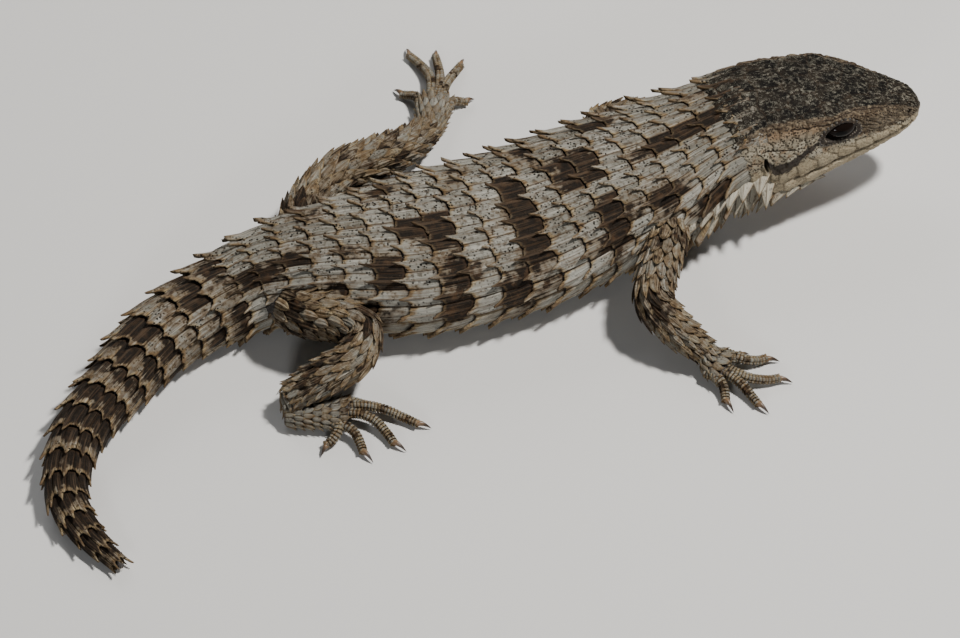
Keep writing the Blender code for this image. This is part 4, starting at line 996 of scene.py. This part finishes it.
def head_finish():
    """Rough dark bone above, and dotted cream horn on the face, lips and jaw."""
    finish = Finish("head_shields", Roughness=0.6, Specular_IOR_Level=0.09)
    crown, seam, peak = finish.mark("crown"), finish.mark("seam"), finish.mark("peak")
    tone, lip, jaw = finish.mark("tone"), finish.mark("lip"), finish.mark("jaw")
    local = finish.node("CombineXYZ", X=finish.mark("back"), Y=finish.mark("round") * 2.4).outputs[0]
    grain = finish.grain(0.35, 4.0, local)
    flecked = finish.grain(0.17, 3.0, local)
    pepper = finish.grain(0.10, 3.0, local, (0.7, 1.0, 1.0))
    cloud = finish.grain(1.6, 2.0)
    patch = finish.grain(0.7, 3.0)
    fine = finish.grain(0.12, 2.0)
    dusk = finish.mark("dusk") + (grain - 0.5) * 0.8 + (patch - 0.5) * 0.6
    shade = finish.mark("mask") + (grain - 0.5) * 0.9 + (patch - 0.5) * 0.5
    dots = finish.dots(0.26).ramp(0.48, 0.32) * (1.0 - lip * 0.6) * (1.0 - jaw * 0.7)
    dots = dots * finish.grain(0.8, 1.0).ramp(0.32, 0.48)
    cream = finish.coats(
        finish.mix(tone, (0.175, 0.15, 0.105), (0.285, 0.26, 0.20)),
        (patch.ramp(0.48, 0.72) * 0.7, (0.17, 0.10, 0.05)),
        (lip * 0.75, (0.30, 0.25, 0.165)),
        (jaw * 0.7, (0.40, 0.33, 0.22)),
        (finish.mark("brow") * 0.7, (0.21, 0.125, 0.065)),
        (dusk.ramp(0.15, 0.8) * 0.85, (0.036, 0.026, 0.017)),
        ((peak * 0.8 + flecked - 0.5).ramp(0.3, 0.7) * dusk * 0.55, (0.27, 0.215, 0.14)),
        (flecked.ramp(0.42, 0.32) * 0.4, (0.36, 0.315, 0.24)),
        (flecked.ramp(0.55, 0.68) * 0.6, (0.07, 0.045, 0.028)),
        (grain.ramp(0.55, 0.70) * 0.6, (0.09, 0.058, 0.034)),
        (dots * 0.9, (0.018, 0.013, 0.01)),
        (shade.ramp(0.3, 0.58) * 0.92, (0.022, 0.018, 0.016)),
        (finish.mark("streak").ramp(0.2, 0.7) * 0.85, (0.018, 0.012, 0.009)),
        # Partly painted shade: the throat is painted mid-brown, darker than its own cream with brown
        # mottling, as it lies in shade under the head.
        (finish.mark("throat") * 0.8, (0.20, 0.13, 0.07)))
    flecks = (peak * 0.5 + (flecked - 0.5) * 0.9 + (pepper - 0.5) * 1.8).ramp(0.26, 0.52)
    bone = finish.mix(patch.ramp(0.4, 0.65), (0.15, 0.138, 0.106), (0.28, 0.26, 0.205))
    dark = finish.coats(
        finish.mix(cloud.ramp(0.4, 0.65), (0.004, 0.0035, 0.003), (0.016, 0.0125, 0.009)),
        (flecks * (0.35 + cloud * 0.6), bone))
    colour = finish.coats(
        cream,
        ((crown + (grain - 0.5) * 0.8).ramp(0.3, 0.7), dark),
        (seam * (0.05 + cloud * 0.5), (0.06, 0.038, 0.022)),
        # Painted shade: the ear openings, nostrils and mouth line are painted near black for the
        # shadow inside them.
        (finish.mark("hole").most(finish.mark("split")) * 0.92, (0.012, 0.008, 0.006)))
    relief = grain * 0.4 + flecked * 0.6 + fine * 0.4
    return finish.dress(colour, 0.55 + fine * 0.35, relief, depth=0.08)


points, faces, marks, spots = head_surface()
head_shields = make_piece("head_shields", points, faces, head_finish(), marks, spots)
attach(head_shields, "root")


# The eyes are wet, nearly black balls, with the pupil in an iris of very dark brown. They are set
# deep under the brow, and are longer than high, so that each fills the opening between its lids.
EYE_BALL = (1.8, 1.15, 1.5)  # half length, half height and depth
EYE_BULGE = 5.4             # how far out from the head's middle the ball reaches
EYE_SIDES = 40
EYE_RINGS = 26


def eye_finish():
    """A wet black pupil in a dark brown iris."""
    finish = Finish("wet_eye", Roughness=0.06, Specular_IOR_Level=0.12, IOR=1.38)
    ring = finish.mark("pupil") + (finish.grain(0.4) - 0.5) * 0.1
    return finish.dress(
        finish.mix(ring.ramp(0.3, 0.4), (0.0015, 0.0015, 0.0015), (0.007, 0.0045, 0.0035)))


def join_rings(parts):
    """The points and faces of several stacks of closed rings, which are all of one size."""
    rings, count = parts[0].shape[:2]
    faces = [ring_faces(count, rings, rings * count * number) for number in range(len(parts))]
    return np.vstack([part.reshape(-1, 3) for part in parts]), np.vstack(faces)


parts = []
turns = even_turns(EYE_SIDES)
slopes = np.linspace(0.02, math.pi * 0.5, EYE_RINGS)
for side in (1, -1):
    wide = np.sin(slopes)[:, None, None]
    out = (EYE_BALL[2] * np.cos(slopes) * side)[:, None, None]
    centre = head_point(EYE[0], side * (EYE_BULGE - EYE_BALL[2]), EYE[1])
    ring = (np.cos(turns)[:, None] * EYE_BALL[0] * HEAD_BACK
            + np.sin(turns)[:, None] * EYE_BALL[1] * HEAD_UP)
    parts.append(centre + wide * ring + out * HEAD_LEFT)
points, faces = join_rings(parts)
pupil = np.tile(np.repeat(np.sin(slopes), EYE_SIDES), len(parts))
eyes = make_piece("eyes", points, faces, eye_finish(), {"pupil": pupil})
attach(eyes, "root")
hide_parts("eye_left", "eye_right")


# Two rings of small round scales edge the lids of each eye. They are beads of dark brown horn,
# mottled paler, and grow out of the skin side by side.
LID_RINGS = ((1.2, 26, 0.15), (1.52, 28, 0.17))     # share of the opening, scales, half width
BEAD_HEIGHT = 0.14
BEAD_SIDES = 10
BEAD_SLOPES = (0.05, 0.45, 0.85, 1.25, 1.6)         # of its rings, in radians from its top


def face_spot(back, above, side):
    """The point of the face at a distance back and a height, and the way out of it."""
    half = head_half(np.array([back]), np.linspace(1.6, 4.8, 60))[0]
    out = np.interp(-above, -half[:, 1], half[:, 0])
    k = np.argmin(np.abs(half[:, 1] - above))
    run = half[min(k + 1, len(half) - 1)] - half[k - 1]
    away = np.array([-run[1], run[0]]) / np.hypot(*run)
    return head_point(back, side * out, above), side * away[0] * HEAD_LEFT + away[1] * HEAD_UP


def bead(centre, away, ahead, long, wide, thick):
    """Half a ball on the skin, as rings from its top down."""
    turns = even_turns(BEAD_SIDES)[:, None]
    flat = np.cos(turns) * long * ahead + np.sin(turns) * wide * np.cross(away, ahead)
    return np.array([centre + math.sin(slope) * flat + (math.cos(slope) * thick - 0.02) * away
                     for slope in BEAD_SLOPES])


beads, places = [], []
for side in (1, -1):
    for share, count, half in LID_RINGS:
        for turn in even_turns(count):
            back = EYE[0] + share * EYE_OPENING[0] * math.cos(turn)
            above = EYE[1] + share * EYE_OPENING[1] * math.sin(turn) - EYE_SAG * (back - EYE[0]) ** 2
            spot, away = face_spot(back, above, side)
            ahead = -math.sin(turn) * HEAD_BACK + math.cos(turn) * HEAD_UP
            ahead = ahead - ahead @ away * away
            ahead /= np.linalg.norm(ahead)
            spot = spot + 0.02 * away
            beads.append(bead(spot, away, ahead, half * 1.05, half * 0.9, BEAD_HEIGHT))
            places.append((turn / (2 * math.pi), (share - 1.0) * 0.4 + 0.5 * (side > 0)))


def lid_finish():
    """Dark brown horn, mottled paler."""
    finish = Finish("lid_scales", Roughness=0.5)
    grain = finish.grain(0.22, 3.0)
    colour = finish.mix(grain.ramp(0.45, 0.68), (0.018, 0.014, 0.011), (0.15, 0.125, 0.09))
    return finish.dress(colour, relief=grain, depth=0.04)


points, faces = join_rings(beads)
turns = np.tile(even_turns(BEAD_SIDES), len(BEAD_SLOPES))
slope = np.repeat(np.linspace(0.1, 1.0, len(BEAD_SLOPES)), BEAD_SIDES)[:, None] * 0.012
cell = slope * np.stack([np.cos(turns), np.sin(turns)], axis=1) + 0.015
spots = (np.array(places)[:, None] * 0.96 + cell).reshape(-1, 2)
lid_scales = make_piece("lid_scales", points, faces[:, ::-1], lid_finish(), spots=spots)
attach(lid_scales, "root")


# A fringe of flat three-cornered spines stands out along the jaw and down both sides of the
# neck, in overlapping rows. They are stiff cream and grey horn with tan edges.
FRINGE_PITCH = 1.75
JAW_SPINE_WIDTH = 1.7
NECK_SPINE_WIDTH = 2.4
SPINE_SIDES = 16
SPINE_RINGS = 10
SPINE_STRIPS = 12           # spines beside each other on the bake map

# Each spine of the jaw, as distance back from the snout, place round and length.
JAW_FRINGE = (
    (11.6, 5.9, 0.9), (12.9, 5.85, 1.3), (14.3, 5.8, 1.6), (15.7, 5.75, 2.0), (17.1, 5.7, 2.4),
    (18.5, 5.7, 2.7),
)
# Each row of the neck, as its angle in degrees, where it starts, its count and its length.
NECK_FRINGE = ((-2.0, 0.6, 6, 2.2), (-18.0, -0.2, 7, 2.9), (-36.0, -1.0, 6, 2.7))


def spike(root, ahead, wide, length, width):
    """A flat keeled spine as rings of points from its sunk root to its tip."""
    ahead = ahead / np.linalg.norm(ahead)
    wide = wide - wide @ ahead * ahead
    wide /= np.linalg.norm(wide)
    face = np.cross(wide, ahead)
    face *= np.sign(face[2]) or 1.0
    turns = even_turns(SPINE_SIDES)
    across, over = np.cos(turns), np.sin(turns)
    rings, marks = [], []
    for share in np.linspace(0.0, 1.0, SPINE_RINGS):
        full = max(1.0 - share ** 1.1, 0.02)
        keel = 0.16 * np.exp(-np.abs(across) / 0.2) * (1.0 - 0.6 * share)
        thick = over * 0.17 * (1.0 - 0.7 * share) + np.where(over > 0, keel, 0.0)
        middle = root + (share * 1.25 - 0.25) * length * ahead + 0.12 * math.sin(share * 3.0) * face
        rings.append(middle + (across * full * width / 2)[:, None] * wide + thick[:, None] * face)
        marks.append(np.stack([np.full(SPINE_SIDES, share), across], axis=-1))
    return np.array(rings), np.array(marks)


spikes = []
for side in (1, -1):
    for back, place, length in JAW_FRINGE:
        out, above = head_half(np.array([back]), np.array([place]))[0, 0]
        root = head_point(back, side * (out - 0.2), above + 0.1)
        ahead = 0.62 * HEAD_BACK + 0.62 * side * HEAD_LEFT - 0.48 * HEAD_UP
        spikes.append(spike(root, ahead, HEAD_BACK, length, JAW_SPINE_WIDTH))
    for degrees, first, count, length in NECK_FRINGE:
        turn = math.radians(degrees if side > 0 else 180.0 - degrees)
        for number in range(count):
            place = first + FRINGE_PITCH * number + draw.uniform(-0.15, 0.15)
            root = trunk_tube.at(place, turn, -0.1)
            away = trunk_tube.at(place, turn, 1.0) - trunk_tube.at(place, turn, 0.0)
            behind = trunk_tube.read(trunk_tube.tangent, place)
            ahead = (0.45 + 0.25 * number / count) * behind + 0.8 * away - 0.2 * HEAD_UP
            long = length * (1.0 - 0.35 * number / count) * draw.uniform(0.9, 1.1)
            spikes.append(spike(root, ahead, behind, long, NECK_SPINE_WIDTH))
points, faces = join_rings([rings for rings, _ in spikes])
places = np.vstack([pair.reshape(-1, 2) for _, pair in spikes])
each = np.repeat(np.arange(len(spikes)), SPINE_SIDES * SPINE_RINGS)
marks = {"along": places[:, 0], "across": places[:, 1],
         "tone": draw.uniform(0.2, 1.0, len(spikes))[each],
         "dark": 0.0, "warm": draw.uniform(0.1, 0.4, len(spikes))[each], "speck": 0.3}
strip, column = np.divmod(each, SPINE_STRIPS)
spots = np.stack([(column + 0.04 + 0.92 * places[:, 0]) / SPINE_STRIPS,
                  (strip + 0.5 + 0.46 * places[:, 1]) / (1 + strip.max())], axis=-1)
fringe_horn = scale_finish("fringe_horn", (0.29, 0.265, 0.205), (0.45, 0.415, 0.33))
neck_spines = make_piece("neck_spines", points, faces, fringe_horn, marks, spots)
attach(neck_spines, "root")


# The limbs are covered by smaller pointed scales with sharp keels, in staggered rings. They are
# tan and grey-brown, mottled with orange and dark brown.
LIMB_START = {"fore": 3.2, "hind": 2.8}     # from there on the limb is out of the trunk
LIMB_PITCH = 1.32
LIMB_COLUMNS = 12
LIMB_GRID = (8, 15)


def leaf_form(a, c, under, cell):
    """A narrower scale that comes to a point, as on the limbs, with a sharp keel."""
    full = np.clip(1.0 - np.clip((a - 0.35) / 0.65, 0.0, 1.0) ** 2.1, 0.03, 1.0)
    along = -0.1 + a * (1.1 + cell["spine"])
    keel = np.exp(-np.abs(c) / cell["keel_width"]) * (0.15 + 0.85 * a) * full ** 0.6
    lift = (-0.1 + cell["rise"] * (a + 0.8 * a ** 5) + cell["keel"] * keel
            + 0.10 * (1.0 - c * c) * (1.0 - a)
            + cell["ribs"] * np.cos(c * cell["rib_count"]) * full)
    lift = lift - 0.2 * full * np.clip((np.abs(c) - 0.8) / 0.2, 0.0, 1.0) ** 2
    lift = np.where(under > 0.6, -0.35, lift - 0.07 * (under > 0.0)) - TUCK * (a == 0.0)
    along = np.where(under > 0.6, 0.5, along)
    side = c * full * cell["spread"] + cell["skew"] * a
    return along, side, lift * cell["fine"]


parts = []
for name, tube in limb_tubes.items():
    start = LIMB_START[name.split("_")[1]]
    rings = round((tube.length - start) / LIMB_PITCH)
    edges = np.linspace(start, tube.length + 0.2, rings + 1)
    turns = np.linspace(-math.pi / 2, 3 * math.pi / 2, LIMB_COLUMNS + 1)
    ring, column = each_cell(rings, LIMB_COLUMNS)
    shift = (ring % 2) * math.pi / LIMB_COLUMNS
    middle = 0.5 * (turns[column] + turns[column + 1]) + shift
    over = np.clip(0.72 + 0.6 * np.sin(middle), 0.15, 1.0) * np.clip(
        tube.room(edges[ring + 1], middle) * 1.3, 0.25, 1.0)
    fade = np.clip((rings - ring) / 3.0, 0.25, 1.0)
    over = over * fade
    count = len(ring)
    size = draw.uniform(0.8, 1.2, count)
    cells = {
        "front": edges[ring], "rear": edges[ring + 1],
        "turn": turns[column] + shift, "turn_end": turns[column + 1] + shift,
        "spine": 0.2 * fade + 0.38 * size * over, "rise": 0.12 + 0.24 * over,
        "keel": 0.07 + 0.2 * size * over, "keel_width": 0.16,
        "ribs": 0.04, "rib_count": 12.6, "skew": 0.0, "spread": 1.12, "fine": 1.0,
        "tone": draw.uniform(0.0, 0.3, count), "warm": draw.uniform(0.25, 0.8, count),
        "speck": draw.uniform(0.3, 1.0, count),
        "dark": np.clip(draw.uniform(0.08, 0.53, count) + 0.12 * np.sin(ring * 1.3), 0.26, 1.0),
    }
    parts.append(lay_scales(tube, cells, leaf_form, LIMB_GRID))
points, faces, marks, spots = join_scales(parts)
limb_scales = make_piece("limb_scales", points, faces, scale_horn, marks, spots)
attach(limb_scales, "root")


# The palms and soles are clad in small pointed scales, and each toe in close rings of plates.
# They are banded orange-tan and grey.
TOE_PITCH = 0.32
TOE_PLATES = 5              # round the toe
SOLE_PITCH = 0.85
SOLE_SCALES = 14            # round the palm or sole
JOINT_SCALES = 12           # round the wrist or ankle
TOE_GRID = (4, 6)
SOLE_GRID = (6, 8)
parts, tips = [], []
for name, tube in limb_tubes.items():
    sole, toes = toe_tubes(name)
    pieces = [(joint_tube(tube, sole), SOLE_PITCH, JOINT_SCALES), (sole, SOLE_PITCH, SOLE_SCALES)]
    for piece, pitch, columns in pieces + [(toe, TOE_PITCH, TOE_PLATES) for toe, _ in toes]:
        rings = round(piece.length / pitch)
        edges = np.linspace(-0.3, piece.length + 0.1, rings + 1)
        ring, column = each_cell(rings, columns)
        is_toe = columns == TOE_PLATES
        stagger = 0.5 if is_toe else 0.5 * (ring % 2)
        turn = (column - stagger) * 2 * math.pi / columns - math.pi / 2
        count = len(ring)
        bands = np.where((ring // 3 + draw.integers(0, 3)) % 3 == 0, 0.35, 0.0)
        bands = bands + draw.uniform(-0.1, 0.1)
        # Traits for both forms: the keeled one on the toes, the leaf on joints, palms and soles.
        cells = {
            "front": edges[ring], "rear": edges[ring + 1], "turn": turn,
            "turn_end": turn + 2 * math.pi / columns,
            "spine": draw.uniform(0.0, 0.12, count) if is_toe else draw.uniform(0.2, 0.4, count),
            "rise": 0.42, "keel": 0.05 if is_toe else 0.16, "keel_width": 0.3,
            "ribs": 0.0, "rib_count": 1.0, "skew": 0.0, "spread": 1.05, "lean": 0.0,
            "fine": 0.25 if is_toe else 0.6, "lifted": 0.0, "fray": 0.0, "groove": 0.3,
            "point_width": 1.0, "tone": np.repeat(draw.uniform(0.0, 0.45, rings), columns),
            "warm": draw.uniform(0.2, 0.65, count), "speck": 0.3,
            "dark": np.clip(bands + draw.uniform(-0.2, 0.25, count), 0.0, 1.0),
        }
        form, grid = (keeled_form, TOE_GRID) if is_toe else (leaf_form, SOLE_GRID)
        parts.append(lay_scales(piece, cells, form, grid))
        parts[-1][2]["ringed"] = np.full(len(parts[-1][0]), float(is_toe))
    tips += toes
points, faces, marks, spots = join_scales(parts)
toe_scales = make_piece("toe_scales", points, faces, scale_horn, marks, spots)
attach(toe_scales, "root")


# Each toe ends in a thin curved claw. It is smooth dark brown horn, paler at its root, which is
# sunk in the tip of the toe.
CLAW_SIDES = 8

# Along a claw, the share of its length, the height of its axis and its half thickness.
CLAW_ARCH = (
    (0.0, 0.56, 0.36), (0.3, 0.64, 0.30), (0.6, 0.55, 0.2), (0.85, 0.33, 0.1), (1.0, 0.14, 0.02),
)


def claw_finish():
    """Horn that darkens towards the point."""
    finish = Finish("claw_horn", Roughness=0.35)
    reach = finish.mark("reach") + (finish.grain(0.3) - 0.5) * 0.5
    return finish.dress(finish.mix(reach.ramp(0.1, 0.7), (0.20, 0.12, 0.06), (0.035, 0.022, 0.015)))


parts = []
turns = even_turns(CLAW_SIDES)
path = smooth_path(CLAW_ARCH, 4)
for toe, tip in tips:
    start = toe.path[-1, :3] - 0.15 * toe.tangent[-1]
    flat = np.array([*tip, 0.0]) - start * (1, 1, 0)
    side = np.array([-flat[1], flat[0], 0.0]) / np.linalg.norm(flat)
    middle = start * (1, 1, 0) + path[:, :1] * flat + path[:, 1:2] * HEAD_UP
    spokes = np.cos(turns)[:, None] * side * 0.8 + np.sin(turns)[:, None] * HEAD_UP
    parts.append(middle[:, None] + path[:, 2:3, None] * spokes)
points, faces = join_rings(parts)
points[:, 2] = np.maximum(points[:, 2], 0.0)
reach = np.tile(np.repeat(path[:, 0], CLAW_SIDES), len(parts))
claw, point = np.divmod(np.arange(len(points)), CLAW_SIDES * len(path))
spots = np.stack([(claw + 0.1 + 0.1 * (point % CLAW_SIDES)) / len(parts), reach], axis=1)
claws = make_piece("claws", points, faces, claw_finish(), {"reach": reach}, spots)
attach(claws, "root")


# The floor is a plain pale sheet, and the camera looks down on it from the animal's right. As the
# camera sees them, one soft light stands high at the right, one low in front of the animal and a
# wide weak one behind it.
CAMERA_HEIGHT = 49.0        # degrees over the floor
CAMERA_TURN = -17.0         # degrees from square on to the right side
CAMERA_AWAY = 420.0         # millimetres from the aimed place
PIXELS_PER_MM = 9.9         # at the aimed place, in a picture of PICTURE_WIDTH
AIM = (-0.71, -9.0, 0.0)
PICTURE_WIDTH = 960
FLOOR_HALF = 1200.0
FLOOR_DROP = 0.05           # so that the sheet lies just under the animal

floor_finish = Finish("pale_floor", Roughness=0.85)
floor_material = floor_finish.dress((0.62, 0.61, 0.59))
ground = bpy.data.meshes.new("floor")
corners = [(x * FLOOR_HALF * MM, y * FLOOR_HALF * MM, 0.0)
           for x, y in ((-1, -1), (1, -1), (1, 1), (-1, 1))]
ground.from_pydata(corners, [], [(0, 1, 2, 3)])
ground.materials.append(floor_material)
floor = bpy.data.objects.new("floor", ground)
bpy.context.scene.collection.objects.link(floor)
floor.location.z = -FLOOR_DROP * MM


def soft_light(name, away, size, power, colour):
    """A square light that faces the animal from a place in millimetres."""
    data = bpy.data.lights.new(name, "AREA")
    data.size, data.energy, data.color = size * MM, power, colour
    lamp = bpy.data.objects.new(name, data)
    bpy.context.scene.collection.objects.link(lamp)
    lamp.location = Vector(away) * MM
    lamp.rotation_mode = "QUATERNION"
    lamp.rotation_quaternion = lamp.location.to_track_quat("Z", "Y")


soft_light("key_light", (190.0, -60.0, 420.0), 45.0, 3.2, (1.0, 0.98, 0.95))
soft_light("fill_light", (-210.0, -430.0, 190.0), 80.0, 0.65, (0.95, 0.97, 1.0))
soft_light("rear_light", (-60.0, 380.0, 300.0), 260.0, 0.6, (1.0, 1.0, 1.0))
world = bpy.data.worlds.new("room")
world.use_nodes = True
sky = world.node_tree.nodes["Background"]
sky.inputs["Color"].default_value = (0.8, 0.85, 0.9, 1.0)
sky.inputs["Strength"].default_value = 0.09
bpy.context.scene.world = world

rise, turn = math.radians(CAMERA_HEIGHT), math.radians(CAMERA_TURN)
back = Vector((math.sin(turn) * math.cos(rise), -math.cos(turn) * math.cos(rise), math.sin(rise)))
lens = bpy.data.cameras.new("camera")
lens.sensor_width = 36.0
lens.lens = lens.sensor_width * PIXELS_PER_MM * CAMERA_AWAY / PICTURE_WIDTH
lens.clip_start, lens.clip_end = 0.01, 10.0
camera = bpy.data.objects.new("camera", lens)
bpy.context.scene.collection.objects.link(camera)
camera.location = (Vector(AIM) + back * CAMERA_AWAY) * MM
camera.rotation_mode = "QUATERNION"
camera.rotation_quaternion = (-back).to_track_quat("-Z", "Y")
bpy.context.scene.camera = camera
